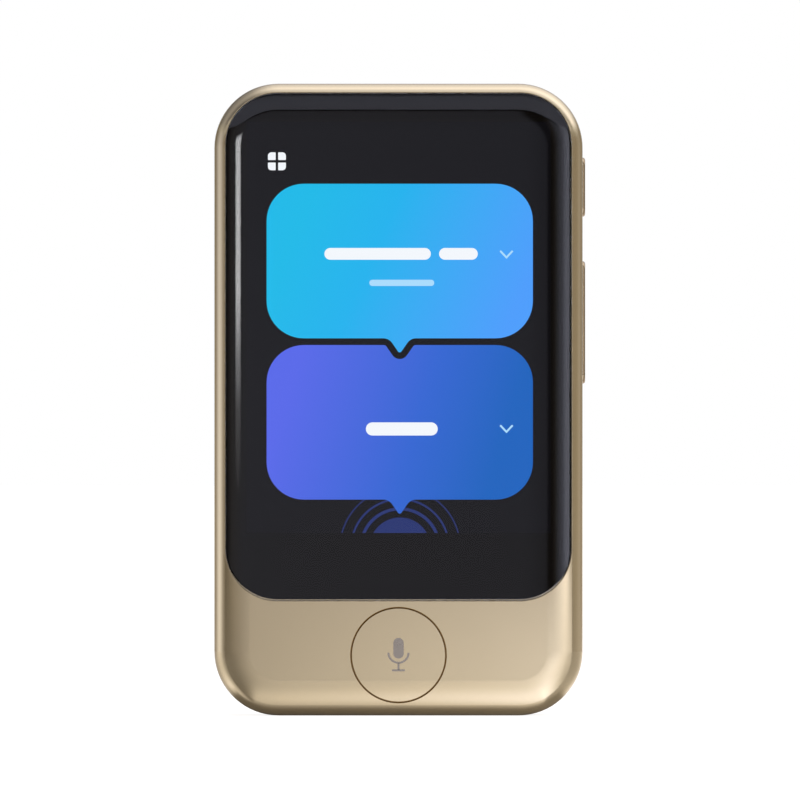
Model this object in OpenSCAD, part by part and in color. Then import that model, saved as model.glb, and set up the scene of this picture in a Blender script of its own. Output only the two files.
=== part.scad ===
// Handheld translator with a glass front, a round talk button and two side keys.
// Every sub-part is drawn lying on its back: x across, y from the bottom edge to the top edge,
// z from the back to the front. upright() then stands it on its bottom edge, front towards -Y.

/* [Housing] */
// Width across the housing, without the side keys
body_w = 53.4; // [53:0.1:60]
// Height from the bottom edge to the top edge
body_h = 91.6; // [91:0.1:110]
// Depth from the back to the front
body_d = 11.5; // [11.3:0.1:14]
// Radius of the four corners seen from the front
corner_r = 9.3; // [8.8:0.1:11]
// Large radius with which the front rolls over towards its edges
front_curve_r = 9.5; // [8:0.1:12]
// Angle swept by the large front radius, in degrees
front_curve_angle = 22; // [16:1:26]
// Small radius between the rolled front and the sides
front_edge_r = 2.5; // [2:0.1:3]
// Radius between the back and the sides, at most the depth of the rear cover
rear_edge_r = 3; // [2.4:0.1:3]
// Thickness of the side, top and bottom walls
wall = 1.4; // [1.2:0.05:1.5]
// Thickness of the back wall
rear_wall = 1.2; // [1:0.05:1.4]
// Thickness of the chin round the talk button
chin_wall = 1.8; // [1.6:0.05:2]
// From the USB opening back to the seam of the rear cover
seam_from_usb = 0.87; // [0.8:0.01:0.95]
// Width and depth of the groove along the seam
seam_groove = 0.15; // [0.1:0.05:0.3]

/* [Rear cover clips] */
// Thickness of the lip that enters the front housing
lip_t = 0.7; // [0.5:0.1:0.9]
// Height of the lip over the seam
lip_h = 0.75; // [0.5:0.05:0.8]
// Gap between the lip and the housing wall
lip_gap = 0.1; // [0.05:0.05:0.2]
// Length of one clip
clip_l = 4; // [3:0.5:6]
// Height of a clip over the seam
clip_h = 2; // [1.8:0.1:2.2]
// How far the clip's ridge enters the wall
clip_bite = 0.3; // [0.2:0.05:0.4]
// Gap round the clip's ridge
clip_gap = 0.1; // [0.05:0.05:0.15]
// From the bottom edge to the lowest clips
first_clip_y = 13; // [12:0.5:16]
// Distance from one clip to the next, as far as the SIM tray and the side keys
clip_pitch = 19; // [12:0.5:24]
// Least distance from a clip's end to the SIM tray's door and the key bracket
clip_end_gap = 2; // [1:0.5:4]
// Distance of the two top clips from the middle
top_clip_x = 6; // [3:0.5:9]

/* [Glass] */
// Width of the metal rim beside the glass
side_rim = 1.65; // [1.4:0.05:2.2]
// Width of the metal rim above the glass
top_rim = 1.41; // [1.2:0.05:2]
// Height of the metal chin below the glass
chin_h = 16.69; // [16.6:0.05:19]
// Corner radius of the glass
glass_r = 7.5; // [6:0.1:8.5]
// Thickness of the cover glass
glass_t = 1.1; // [0.9:0.05:1.2]
// Gap all round the glass
glass_gap = 0.08; // [0.05:0.01:0.15]
// Thickness of the black printed film
film_t = 0.1; // [0.05:0.01:0.15]
// Thickness of the adhesive frame
adhesive_t = 0.2; // [0.15:0.01:0.3]
// How far film and adhesive stay inside the glass outline
film_inset = 0.2; // [0.1:0.05:0.4]

/* [Display] */
// From the side of the glass to the side of the display panel
panel_side = 2.05; // [1.8:0.05:2.6]
// From the top of the glass to the top of the display panel
panel_top = 2.69; // [2.5:0.05:3.5]
// From the bottom of the glass to the bottom of the display panel
panel_bottom = 6.8; // [6.6:0.05:8]
// Thickness of the display panel
panel_t = 0.7; // [0.6:0.05:0.9]
// From the side of the panel to the lit area
lit_side = 1; // [0.8:0.05:1.5]
// From the top of the panel to the lit area
lit_top = 1.5; // [1:0.05:2]
// From the bottom of the panel to the lit area
lit_bottom = 3; // [2.5:0.05:4]
// Height of the panel's connecting edge
driver_ledge = 2.2; // [1.8:0.1:2.5]
// Gap between the panel and the housing's ledge
panel_gap = 0.2; // [0.15:0.05:0.3]
// Thickness of the housing's ledge
ledge_t = 1.3; // [1.2:0.05:1.5]
// Width of the display flex
display_flex_w = 10; // [8:0.5:11]
// From the right side to the middle of the display flex
display_flex_side = 12.7; // [12.2:0.1:13.7]
// Bending radius of the display flex
display_bend_r = 0.6; // [0.5:0.05:0.65]
// From the panel's lower edge to the bend of its flex
display_flex_out = 1.1; // [0.9:0.1:1.4]
// Length of a flex's end on its board
flex_end_l = 2.4; // [2:0.1:2.6]
// Thickness of every flex
flex_t = 0.15; // [0.1:0.01:0.2]

/* [Mid plate] */
// Thickness of the steel mid plate
plate_t = 0.6; // [0.4:0.05:0.7]
// Gap between the plate and the housing wall
plate_gap = 0.3; // [0.2:0.05:0.5]
// From the bottom of the glass to the bottom of the plate
plate_low = 0.8; // [0.6:0.1:1.2]
// Height of the plate's standoffs under the main board
standoff_h = 0.5; // [0.45:0.05:0.7]
// Shank radius of every screw
screw_r = 0.7; // [0.5:0.05:0.75]
// Head radius of every screw
screw_head_r = 1.1; // [1:0.05:1.1]
// Head height of every screw
screw_head_h = 0.4; // [0.3:0.05:0.45]
// Clearance round the screws
screw_gap = 0.05; // [0.03:0.01:0.1]
// Depth to which the screws enter the front housing
screw_bite = 1; // [0.8:0.1:1.1]
// Depth of the screw holes past the screws' ends
screw_end_gap = 0.1; // [0.05:0.05:0.15]
// From the left side to the first plate screw below the display
low_screw_left = 9.7; // [9.3:0.1:14]
// From the right side to the last plate screw below the display
low_screw_right = 5; // [4.6:0.1:5.2]
// From the bottom of the glass to the lower plate screws
low_screw_y = 1.95; // [1.9:0.05:2]
// From the sides to the outer plate screws above the display
top_screw_side = 12.7; // [11.5:0.1:16]

/* [Talk button] */
// Radius of the talk button's cap
talk_r = 6.76; // [6.2:0.02:6.8]
// Gap round the cap
talk_gap = 0.2; // [0.1:0.02:0.3]
// Height of the button's centre above the bottom edge
talk_y = 8.82; // [8.7:0.02:9]
// How far the flange reaches past the bore
talk_lip = 0.34; // [0.3:0.02:0.36]
// Thickness of the flange
talk_flange_t = 0.6; // [0.5:0.05:0.7]
// Gap between the flange and the chin
talk_flange_gap = 0.05; // [0.03:0.01:0.1]
// Travel of the talk button, also the height of its dome
talk_travel = 0.35; // [0.3:0.05:0.4]
// Height of the silicone ring under the flange, when pressed
talk_ring_low = 0.65; // [0.65:0.05:0.8]
// Width of the silicone ring
talk_ring_w = 1.4; // [1:0.1:2]
// Radius of the plunger
plunger_r = 1.2; // [0.8:0.1:1.5]
// Side of the square switch frame
switch_w = 5.4; // [5:0.1:6]
// Height of the switch frame
switch_h = 0.55; // [0.45:0.05:0.6]
// Thickness of the switch floor
switch_floor = 0.25; // [0.2:0.05:0.3]
// Corner radius of the switch frame
switch_r = 0.6; // [0.3:0.1:1]
// Gap round the dome in its switch
dome_gap = 0.1; // [0.05:0.01:0.15]
// Radius of the switch dome
talk_dome_r = 2.2; // [1.8:0.1:2.3]
// Sheet thickness of all domes
dome_t = 0.08; // [0.05:0.01:0.1]

/* [Side keys] */
// How far the keys stand out of the side
key_proud = 0.4; // [0.2:0.05:0.8]
// Width of the keys
key_w = 2.8; // [2.4:0.1:2.8]
// Gap round the keys
key_gap = 0.12; // [0.1:0.01:0.15]
// Height of the flat between the keys' rounded ends
key_end_flat = 0.2; // [0.1:0.05:1]
// Rounding of the keys' outer edge
key_edge_r = 0.35; // [0.1:0.05:0.6]
// Length of the power key
power_key_l = 8.6; // [7:0.1:9]
// From the top edge to the middle of the power key
power_from_top = 14.95; // [14.5:0.05:16]
// Length of the volume key
volume_key_l = 17.8; // [15:0.1:18]
// From the top edge to the middle of the volume key
volume_from_top = 34.6; // [33:0.1:36]
// How far the keys' flanges reach past their slots
key_lip = 0.35; // [0.25:0.05:0.4]
// Thickness of the keys' flanges
key_flange_t = 0.5; // [0.4:0.05:0.55]
// Play between the power key's flange and the wall
power_play = 0.1; // [0.05:0.01:0.15]
// Play between the volume key's flange and the wall
volume_play = 0.3; // [0.28:0.01:0.35]
// Travel of the side keys, also the height of their domes
key_travel = 0.25; // [0.2:0.05:0.3]
// Distance of the volume key's two domes from its middle
volume_dome_y = 6.2; // [5:0.1:7]
// Radius of the side domes
key_dome_r = 1.5; // [1.2:0.1:1.6]
// Radius of the nubs that press the domes
nub_r = 0.6; // [0.4:0.1:0.8]
// Gap between a nub or plunger and its dome
nub_gap = 0.05; // [0.03:0.01:0.08]
// From the inner face of the side wall to the side key flex
key_flex_in = 1.35; // [1.3:0.05:1.5]
// Thickness of the key bracket
bracket_t = 0.3; // [0.2:0.05:0.4]
// Height of the key bracket
bracket_h = 4.3; // [4:0.1:4.4]
// Width of the bracket's foot on the mid plate
bracket_foot = 1.8; // [1.4:0.1:2]
// How far the bracket runs past the keys at either end
bracket_over = 1.5; // [1:0.1:2]
// Width of the flex tail that reaches the main board
key_tail_w = 2.6; // [2:0.1:3]
// Gap round the flex tail where it passes the bracket
key_tail_gap = 0.3; // [0.2:0.1:0.5]
// Length of the flex tail
key_tail_l = 4.5; // [3.5:0.5:6]

/* [Boards] */
// Thickness of both boards
board_t = 0.8; // [0.6:0.05:0.9]
// Height of the main board
main_board_h = 25; // [24.9:0.1:25.3]
// Gap between the main board and the top wall
board_top_gap = 1.8; // [1.6:0.1:2]
// Gap between the boards and the side walls
board_side_gap = 2.2; // [2.15:0.05:2.6]
// Corner radius of the boards
board_r = 6; // [4:0.5:7]
// Corner radius of the boards' inner corners
board_inner_r = 1; // [0.5:0.1:2]
// Gap between the sub board and the bottom wall
sub_board_gap = 0.9; // [0.7:0.1:1.2]
// Height of the sub board
sub_board_h = 13.6; // [13.4:0.1:14]
// From the main board's top edge to its upper screws
board_screw_y = 3.4; // [3.2:0.1:3.6]
// From the main board's sides to its upper screws
board_screw_x = 3.5; // [3.1:0.1:3.9]
// From the main board's lower edge to its lower screw
board_low_screw_y = 2.1; // [1.8:0.1:3]
// From the battery connector to the main board's lower screw
board_low_screw_x = 2.5; // [1.6:0.1:3]
// From the sub board's sides to its screws
sub_screw_x = 2.5; // [2:0.1:2.8]
// From the sub board's lower edge to its screws
sub_screw_y = 4.5; // [4:0.1:8]
// Radius of the bosses for the board screws
boss_r = 1.6; // [1.4:0.1:1.8]
// Width of the flex that links the boards
link_w = 3.6; // [3:0.1:3.8]
// From the boards' facing edges to the ends of the link
link_in = 1; // [0.5:0.1:1.5]
// Thickness of the shield cans' sheet
can_t = 0.2; // [0.15:0.05:0.25]
// Gap beside the processor's shield can, to the SIM socket and to the lower screw
processor_can_gap = 2; // [1.2:0.1:4]
// From the main board's lower edge to the processor's shield can
processor_can_y = 1.4; // [1:0.1:3]
// Height of the processor's shield can
processor_can_h = 10; // [8:0.1:11]
// From the main board's left side to the radio's shield can
radio_can_x = 6.1; // [4:0.1:7]
// From the main board's top edge to the radio's shield can
radio_can_top = 2.4; // [1.8:0.1:3.6]
// Width of the radio's shield can
radio_can_w = 14; // [8:0.1:16]
// Height of the radio's shield can
radio_can_h = 5.8; // [4:0.1:6]
// Corner radius of the shield cans
can_r = 0.8; // [0.4:0.1:1.2]
// How far the shield cans stand out of the main board
can_h = 1.4; // [1:0.1:2]

/* [Battery] */
// Gap between the battery cell and the flex that links the boards
battery_side_gap = 0.5; // [0.3:0.1:2]
// Gap between the battery's protection circuit and the main board
battery_end_gap = 0.9; // [0.6:0.1:3]
// Thickness of the battery cell
battery_t = 5.2; // [4:0.1:5.6]
// Edge radius of the battery cell
battery_r = 1.6; // [1:0.1:2]
// From the mid plate's lower edge to the battery
battery_low = 2.5; // [2.4:0.1:2.8]
// Width of each of the two adhesive strips
battery_glue_w = 9.5; // [6:0.5:12]
// Distance of the adhesive strips from the battery's middle
battery_glue_x = 9.5; // [8:0.5:12]
// From the battery's ends to the ends of the adhesive strips
battery_glue_end = 4; // [3:0.5:8]
// Thickness of the battery adhesive
battery_glue_t = 0.15; // [0.1:0.01:0.2]
// From the cell's sides to the protection circuit on its end
circuit_inset = 3; // [2:0.5:10]
// Height of the protection circuit
circuit_h = 3; // [2.4:0.1:3.6]
// Thickness of the protection circuit
circuit_t = 2.6; // [2.4:0.1:3.6]
// Width of the battery connector and of its lead
plug_w = 5; // [3:0.1:6]
// Height of the battery connector
plug_h = 2.6; // [2:0.1:3.4]
// Thickness of the battery connector
connector_t = 0.8; // [0.6:0.05:1.1]
// From the main board's right side to the middle of the battery connector
battery_plug_side = 9.1; // [7:0.1:10]
// From the main board's lower edge to the battery connector
plug_in = 1; // [0.5:0.1:1.5]
// Thickness of the plug on the lead
plug_t = 0.5; // [0.4:0.1:0.6]

/* [Bottom edge] */
// Width of the USB-C shell
usb_w = 8.94; // [8.9:0.01:9]
// Thickness of the USB-C shell
usb_h = 3.26; // [3.2:0.01:3.3]
// Sheet thickness of the USB-C shell
usb_t = 0.3; // [0.25:0.01:0.3]
// Length of the USB-C shell
usb_l = 7.3; // [6.8:0.1:8]
// How far the USB-C mouth lies inside the bottom edge
usb_recess = 0.3; // [0.2:0.05:0.5]
// Thickness of the USB-C shell's closed end
usb_end = 1; // [0.8:0.1:1.2]
// Width of the USB-C shell's solder tabs
usb_tab_w = 0.8; // [0.5:0.1:1]
// Length of the solder tabs
usb_tab_l = 1.4; // [1:0.1:2]
// Height of the solder tabs
usb_tab_h = 1.6; // [1:0.1:2.4]
// Gap round the USB-C shell
usb_gap = 0.12; // [0.08:0.01:0.15]
// Width of the tongue inside the USB-C shell
tongue_w = 6.7; // [6.5:0.05:6.8]
// Thickness of the tongue
tongue_t = 0.7; // [0.6:0.05:0.8]
// Length of the tongue
tongue_l = 4.9; // [4.4:0.05:5.2]
// Radius of the speaker holes
speaker_hole_r = 0.6; // [0.4:0.05:0.65]
// Pitch of the speaker holes, as many as the speaker's mouth has room for
speaker_pitch = 1.8; // [1.7:0.05:2.4]
// Gap between a speaker box and the lower microphone
speaker_gap = 0.5; // [0.3:0.05:1]
// Gap between a speaker's mouth and the round corner of the housing's inside
mouth_gap = 0.1; // [0.05:0.05:1]
// Height of the speaker box
speaker_h = 9.6; // [8:0.1:10]
// Thickness of the speaker box
speaker_t = 3.7; // [3.2:0.1:3.8]
// Height of the speaker's mouth
mouth_h = 1.8; // [1.5:0.1:2]
// From the bottom wall to the speaker box
mouth_l = 1.2; // [1.1:0.1:1.5]
// How much narrower the mouth is than the box, on either side
mouth_inset = 1.1; // [1:0.1:1.3]
// Corner radius of the speaker box
speaker_r = 0.8; // [0.4:0.1:1.2]
// Thickness of the speaker mesh
mesh_t = 0.12; // [0.08:0.01:0.15]
// Radius of the microphone holes
mic_hole_r = 0.4; // [0.3:0.05:0.5]
// Sideways place of the lower microphone
low_mic_x = 6.1; // [6.05:0.05:6.2]
// From the right side to the upper microphone
top_mic_side = 12.2; // [11.5:0.1:14]
// Width of the microphones and of their rubber boots
mic_w = 2; // [1.8:0.05:2.1]
// Length of the microphones
mic_l = 2.8; // [2.4:0.1:3.4]
// Thickness of the microphones
mic_t = 0.95; // [0.8:0.05:1.1]
// Length of the lower microphone's rubber boot
boot_l = 2.2; // [1.8:0.1:2.6]
// Thickness of the microphones' rubber boots
boot_t = 2.4; // [2:0.1:2.6]

/* [SIM tray] */
// Length of the tray's door
door_l = 14; // [13.6:0.1:14.4]
// Width of the tray's door
door_w = 2.2; // [2:0.05:2.4]
// Thickness of the tray's door
door_t = 1.2; // [1:0.05:1.4]
// Gap round the door
door_gap = 0.1; // [0.06:0.01:0.15]
// From the top edge to the middle of the door
door_from_top = 19.6; // [19.4:0.1:20]
// Length of the tray behind its door
tray_l = 14.5; // [14.2:0.1:14.8]
// Width of the tray
tray_w = 10.6; // [10.4:0.1:10.8]
// Thickness of the tray
tray_t = 1; // [0.9:0.05:1.1]
// Gap round the tray in its socket
tray_gap = 0.1; // [0.08:0.01:0.15]
// How far the tray's middle lies below the door's middle
tray_shift = 1.2; // [1.1:0.05:1.3]
// Length of the nano SIM card
sim_l = 12.3; // [12.2:0.05:12.4]
// Width of the SIM card
sim_w = 8.8; // [8.7:0.05:8.9]
// Thickness of the SIM card
sim_t = 0.67; // [0.6:0.01:0.7]
// Gap round the card in the tray
sim_gap = 0.1; // [0.05:0.01:0.15]
// Radius of the hole for the ejecting pin
eject_r = 0.45; // [0.4:0.01:0.5]
// From the end of the door to the hole for the ejecting pin
eject_in = 1.6; // [1.5:0.05:1.7]
// Corner radius of tray and card
sim_r = 0.8; // [0.5:0.1:1]
// Width of the rim on which the card rests
sim_rest = 0.9; // [0.6:0.1:1.2]
// Leg of the card's cut corner
sim_notch = 1.65; // [1.5:0.05:1.8]
// How far the card lies below the tray's face
sim_sink = 0.03; // [0.01:0.01:0.05]
// Gap between the side wall and the socket
socket_wall_gap = 0.3; // [0.2:0.05:0.5]
// Thickness of the socket's contact base
socket_base = 0.55; // [0.5:0.05:0.6]
// Sheet thickness of the socket
socket_t = 0.2; // [0.15:0.05:0.25]
// Gap before and behind the ejecting lever
lever_gap = 0.3; // [0.2:0.05:0.4]
// Thickness of the ejecting lever
lever_t = 0.5; // [0.4:0.05:0.6]

/* [Camera] */
// From the right side to the middle of the camera
camera_from_side = 13.2; // [12.8:0.1:13.6]
// From the top edge to the middle of the camera
camera_from_top = 12.1; // [11.5:0.1:12.5]
// Outer radius of the camera's metal ring
camera_ring_r = 4.3; // [4.1:0.1:4.8]
// Radius of the camera's window
camera_window_r = 3.6; // [3:0.1:3.9]
// Depth to which the window lies inside the back
window_recess = 0.1; // [0.05:0.05:0.2]
// Thickness of the window
window_t = 0.7; // [0.5:0.05:0.7]
// Gap round window, ring and light pipe
window_gap = 0.05; // [0.03:0.01:0.08]
// Wall of the boss round the ring, inside the back
ring_boss_t = 1; // [0.8:0.1:1.2]
// Gap between the boss round the ring and the camera body
ring_boss_gap = 0.6; // [0.3:0.05:1.2]
// Corner radius of the camera body
camera_body_r = 0.8; // [0.4:0.1:1.2]
// Depth of the funnel before the lens
lens_funnel_l = 1.4; // [0.8:0.1:2]
// Smallest radius of the funnel before the lens
lens_funnel_r = 0.8; // [0.5:0.1:1.5]
// Width of the barrel's rim round the funnel
lens_rim = 0.4; // [0.2:0.05:0.8]
// Side of the square camera body
camera_w = 8.2; // [7.6:0.1:8.4]
// Thickness of the camera body
camera_h = 3.4; // [3:0.1:3.6]
// Radius of the lens barrel
barrel_r = 2.9; // [2.4:0.1:3]
// Distance between the camera and the flash
flash_from_camera = 8.3; // [7.8:0.1:9]
// Radius of the flash's light pipe
flash_r = 1.4; // [1:0.1:1.5]
// Side of the square flash LED
led_w = 1.6; // [1.2:0.1:2]
// Height of the flash LED
led_h = 0.7; // [0.5:0.05:1]

/* [Antenna and strap] */
// From the rounded corner of the top wall to the antenna strip
antenna_left = 1.4; // [0.4:0.1:4]
// Gap between the antenna strip and the upper microphone
antenna_right = 3.5; // [0.5:0.1:6]
// Width of the antenna strip
antenna_w = 2.2; // [1.8:0.1:2.6]
// From the mid plate down to the antenna strip
antenna_low = 0.8; // [0.6:0.1:1]
// Thickness of the antenna strip
antenna_t = 0.12; // [0.1:0.01:0.15]
// From the antenna strip's left end to the first contact
contact_in = 4; // [2:0.5:6]
// Distance from the first contact to the second
contact_pitch = 8; // [4:0.5:14]
// Length of a contact's foot on the main board
contact_foot = 1.6; // [1:0.1:2.4]
// How far a contact leaves the board before it bends
contact_out = 0.4; // [0.3:0.05:0.8]
// How far a contact bends down
contact_drop = 1; // [0.5:0.1:1.4]
// Width of an antenna contact
contact_w = 1.2; // [1:0.1:1.5]
// From the left side to the middle of the strap pocket
strap_side = 11.7; // [11.2:0.1:12.7]
// Width of the strap pocket
strap_w = 4.2; // [3.4:0.1:5]
// Height of the strap pocket
strap_h = 3.8; // [3.4:0.1:4.4]
// Wall round the strap pocket
strap_wall = 0.65; // [0.5:0.05:0.8]
// Radius of the strap bar
strap_bar_r = 0.5; // [0.4:0.05:0.5]
// Gap round the pressed-in strap bar
press_gap = 0.02; // [0.01:0.01:0.03]
// Distance of the strap bar from the bottom edge
strap_bar_in = 1.5; // [1.4:0.05:2.4]

/* [Hidden] */
$fn = 64;
dome_fn = 360;
cut = 1;
gold = [0.76, 0.69, 0.58];
dark_gold = [0.62, 0.55, 0.44];
black = [0.05, 0.05, 0.06];
steel = [0.72, 0.73, 0.75];
board_green = [0.08, 0.28, 0.2];
amber = [0.78, 0.5, 0.15];

// Inner faces of the walls
inner_x = body_w / 2 - wall;
inner_top = body_h - wall;

// Edge profile of the front: two tangent arcs
front_roll_w = front_curve_r * sin(front_curve_angle) + front_edge_r * (1 - sin(front_curve_angle));
front_roll_h = front_curve_r * (1 - cos(front_curve_angle)) + front_edge_r * cos(front_curve_angle);
side_top = body_d - front_roll_h;

// Levels from the glass down to the mid plate
glass_z = body_d - glass_t;
film_z = glass_z - film_t;
ledge_z = film_z - adhesive_t;
plate_top = ledge_z - ledge_t;
plate_z = plate_top - plate_t;
main_board_z = plate_z - standoff_h - board_t;

// Levels from the chin down to the sub board, the USB receptacle and the seam
chin_z = body_d - chin_wall;
talk_flange_z = chin_z - talk_flange_gap - talk_flange_t;
talk_ring_h = talk_travel + talk_ring_low;
sub_board_top = talk_flange_z - talk_ring_h;
sub_board_z = sub_board_top - board_t;
switch_floor_z = sub_board_top + switch_floor;
usb_z = sub_board_z - usb_h / 2;
seam_z = usb_z - usb_h / 2 - usb_gap - seam_from_usb;
rear_r = min(rear_edge_r, seam_z);
talk_bore_r = talk_r + talk_gap;
talk_flange_r = talk_bore_r + talk_lip;

// Glass, display panel and lit area
glass_w = body_w - 2 * side_rim;
glass_top = body_h - top_rim;
panel_w = glass_w - 2 * panel_side;
panel_y0 = chin_h + panel_bottom;
panel_y1 = glass_top - panel_top;
lit_w = panel_w - 2 * lit_side;
lit_y0 = panel_y0 + lit_bottom;
lit_y1 = panel_y1 - lit_top;
flex_turn_y = panel_y0 - display_flex_out;
display_flex_x = body_w / 2 - display_flex_side;

// Mid plate, boards and battery
plate_y0 = chin_h + plate_low;
low_screw_x = [low_screw_left - body_w / 2, 0, body_w / 2 - low_screw_right];
top_screw_x = [top_screw_side - body_w / 2, 0, body_w / 2 - top_screw_side];
plate_screws_at = [
  for (x = low_screw_x) [x, chin_h + low_screw_y],
  for (x = top_screw_x) [x, (panel_y1 + panel_gap + inner_top) / 2]
];
board_w = 2 * (inner_x - board_side_gap);
main_board_y1 = inner_top - board_top_gap;
main_board_y0 = main_board_y1 - main_board_h;
sub_board_y0 = wall + sub_board_gap;
sub_board_y1 = sub_board_y0 + sub_board_h;
battery_plug_x = board_w / 2 - battery_plug_side;
main_low_screw_x = battery_plug_x - plug_w / 2 - board_low_screw_x;
main_screws_at = [
  [board_screw_x - board_w / 2, main_board_y1 - board_screw_y],
  [board_w / 2 - board_screw_x, main_board_y1 - board_screw_y],
  [main_low_screw_x, main_board_y0 + board_low_screw_y]
];
sub_screws_at = [
  for (side = [-1, 1]) [side * (board_w / 2 - sub_screw_x), sub_board_y0 + sub_screw_y]
];
link_x = -board_w / 2 + link_w / 2;
battery_w = board_w - 2 * (link_w + battery_side_gap);
circuit_w = battery_w - 2 * circuit_inset;
battery_y0 = plate_y0 + battery_low;
battery_y1 = main_board_y0 - battery_end_gap - circuit_h;
battery_z1 = plate_z - battery_glue_t;
circuit_z = battery_z1 - circuit_t;
plug_z = main_board_z - connector_t - plug_t;
plug_y = main_board_y0 + plug_h / 2 + plug_in;

// Side keys
key_z = (seam_z + side_top) / 2;
key_end_r = (key_w - key_end_flat) / 2;
power_y = body_h - power_from_top;
volume_y = body_h - volume_from_top;
key_flex_x = inner_x - key_flex_in;
key_dome_x = key_flex_x + key_travel;
bracket_x = key_flex_x - flex_t - bracket_t;
volume_axis_x = inner_x - volume_play - key_flange_t;
key_tail_y = (power_y - power_key_l / 2 + volume_y + volume_key_l / 2) / 2;
bracket_y0 = volume_y - volume_key_l / 2 - bracket_over;
bracket_y1 = power_y + power_key_l / 2 + bracket_over;

// SIM tray
tray_z = main_board_z - socket_base - tray_gap - tray_t / 2;
door_y = body_h - door_from_top;
tray_y = door_y - tray_shift;
eject_y = door_y + door_l / 2 - eject_in;
tray_x0 = -body_w / 2 + door_t;
tray_x1 = tray_x0 + tray_l;
card_x = (tray_x0 + tray_x1) / 2;
card_z = tray_z + tray_t / 2 - sim_sink - sim_t;
lever_x = tray_x1 + lever_gap;
socket_x0 = -inner_x + socket_wall_gap;
socket_x1 = lever_x + lever_t + lever_gap + socket_t;

// Shield cans: left edge, lower edge, width, height
processor_can_x = socket_x1 + processor_can_gap;
processor_can = [
  processor_can_x, main_board_y0 + processor_can_y,
  main_low_screw_x - processor_can_gap - processor_can_x, processor_can_h
];
radio_can = [
  radio_can_x - board_w / 2, main_board_y1 - radio_can_top - radio_can_h, radio_can_w, radio_can_h
];

// Camera, flash, microphones and speakers
camera_x = body_w / 2 - camera_from_side;
camera_y = body_h - camera_from_top;
camera_z = main_board_z - camera_h;
flash_x = camera_x - flash_from_camera;
top_mic_x = body_w / 2 - top_mic_side;
top_mic_y = main_board_y1 - mic_l;
low_mic_y = wall + boot_l;
top_mic_z = main_board_z - mic_t;
speaker_x0 = low_mic_x + mic_w / 2 + speaker_gap;
speaker_x1 = body_w / 2 - corner_r - mouth_gap + mouth_inset;
speaker_x = (speaker_x0 + speaker_x1) / 2;
speaker_w = speaker_x1 - speaker_x0;
speaker_y = wall + mouth_l;
mouth_w = speaker_w - 2 * mouth_inset;
speaker_holes = 1 + floor((mouth_w - 2 * speaker_hole_r) / speaker_pitch);

// Antenna strip and strap pocket
antenna_x0 = corner_r - body_w / 2 + antenna_left;
antenna_x1 = top_mic_x - mic_w / 2 - antenna_right;
contacts_at = [for (i = [0, 1]) antenna_x0 + contact_in + i * contact_pitch];
strap_x = strap_side - body_w / 2;
strap_z = seam_z / 2;

function unit(v) = v / norm(v);

module upright() {
  translate([0, body_d / 2, 0]) rotate([90, 0, 0]) children();
}

// Disc segment that lies outside the chord from p to q
module arc_segment(centre, r, p, q) {
  out = unit((p + q) / 2 - centre) * r;
  intersection() {
    translate(centre) circle(r);
    polygon([p, q, q + out, p + out]);
  }
}

// Cross-section of the housing's edge zone: x outwards, y from the back to the front
module housing_edge() {
  rear_centre = [corner_r - rear_r, rear_r];
  small_centre = [corner_r - front_edge_r, side_top];
  large_centre = [corner_r - front_roll_w, body_d - front_curve_r];
  joint = large_centre + front_curve_r * [sin(front_curve_angle), cos(front_curve_angle)];
  rear_in = [corner_r - rear_r, 0];
  rear_out = [corner_r, rear_r];
  side_end = [corner_r, side_top];
  front_in = [corner_r - front_roll_w, body_d];
  polygon([[0, 0], rear_in, rear_out, side_end, joint, front_in, [0, body_d]]);
  arc_segment(rear_centre, rear_r, rear_in, rear_out);
  arc_segment(small_centre, front_edge_r, side_end, joint);
  arc_segment(large_centre, front_curve_r, joint, front_in);
}

// Cross-section of a plate's edge with one rounded outer edge
module rounded_edge(r, d, edge_r) {
  a = [r, d - edge_r];
  b = [r - edge_r, d];
  polygon([[0, 0], [r, 0], a, b, [0, d]]);
  arc_segment([r - edge_r, d - edge_r], edge_r, a, b);
}

// Plate with round corners whose edge has the cross-section given as a child
module edged_plate(w, h, r, d) {
  translate([r - w / 2, r - h / 2, 0]) cube([w - 2 * r, h - 2 * r, d]);
  for (quarter = [0 : 3]) {
    across = quarter % 2 == 0 ? w : h;
    along = quarter % 2 == 0 ? h : w;
    rotate(90 * quarter) translate([across / 2 - r, along / 2 - r, 0]) {
      rotate([90, 0, 0]) linear_extrude(along - 2 * r) children();
      rotate_extrude(angle = 90) children();
    }
  }
}

module rounded_rect(w, h, r) {
  square([w - 2 * r, h], center = true);
  square([w, h - 2 * r], center = true);
  for (x = [-1, 1], y = [-1, 1]) translate([x * (w / 2 - r), y * (h / 2 - r)]) circle(r);
}

// Slot shape with full round ends, longest along x
module pill(length, width) {
  square([length - width, width], center = true);
  for (side = [-1, 1]) translate([side * (length - width) / 2, 0]) circle(width / 2);
}

// The housing's outline seen from the front, moved inwards
module outline(inset) {
  translate([0, body_h / 2]) rounded_rect(body_w - 2 * inset, body_h - 2 * inset, corner_r - inset);
}

// The glass outline, moved inwards
module glass_outline(inset) {
  translate([0, (chin_h + glass_top) / 2])
    rounded_rect(glass_w - 2 * inset, glass_top - chin_h - 2 * inset, glass_r - inset);
}

module slab(z0, z1) {
  translate([0, 0, z0]) linear_extrude(z1 - z0) children();
}

// Box between two corners
module box(low, high) {
  translate(low) cube(high - low);
}

// Extrudes a flat shape towards +x: the shape's x runs to the back and its y along the housing
module sideways(x0, length) {
  translate([x0, 0, 0]) rotate([0, 90, 0]) linear_extrude(length) children();
}

// Extrudes a flat shape towards +y: the shape's y runs to the back
module upwards(y0, length) {
  translate([0, y0, 0]) rotate([-90, 0, 0]) linear_extrude(length) children();
}

module housing_form() {
  translate([0, body_h / 2, 0]) edged_plate(body_w, body_h, corner_r, body_d) housing_edge();
}

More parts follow.
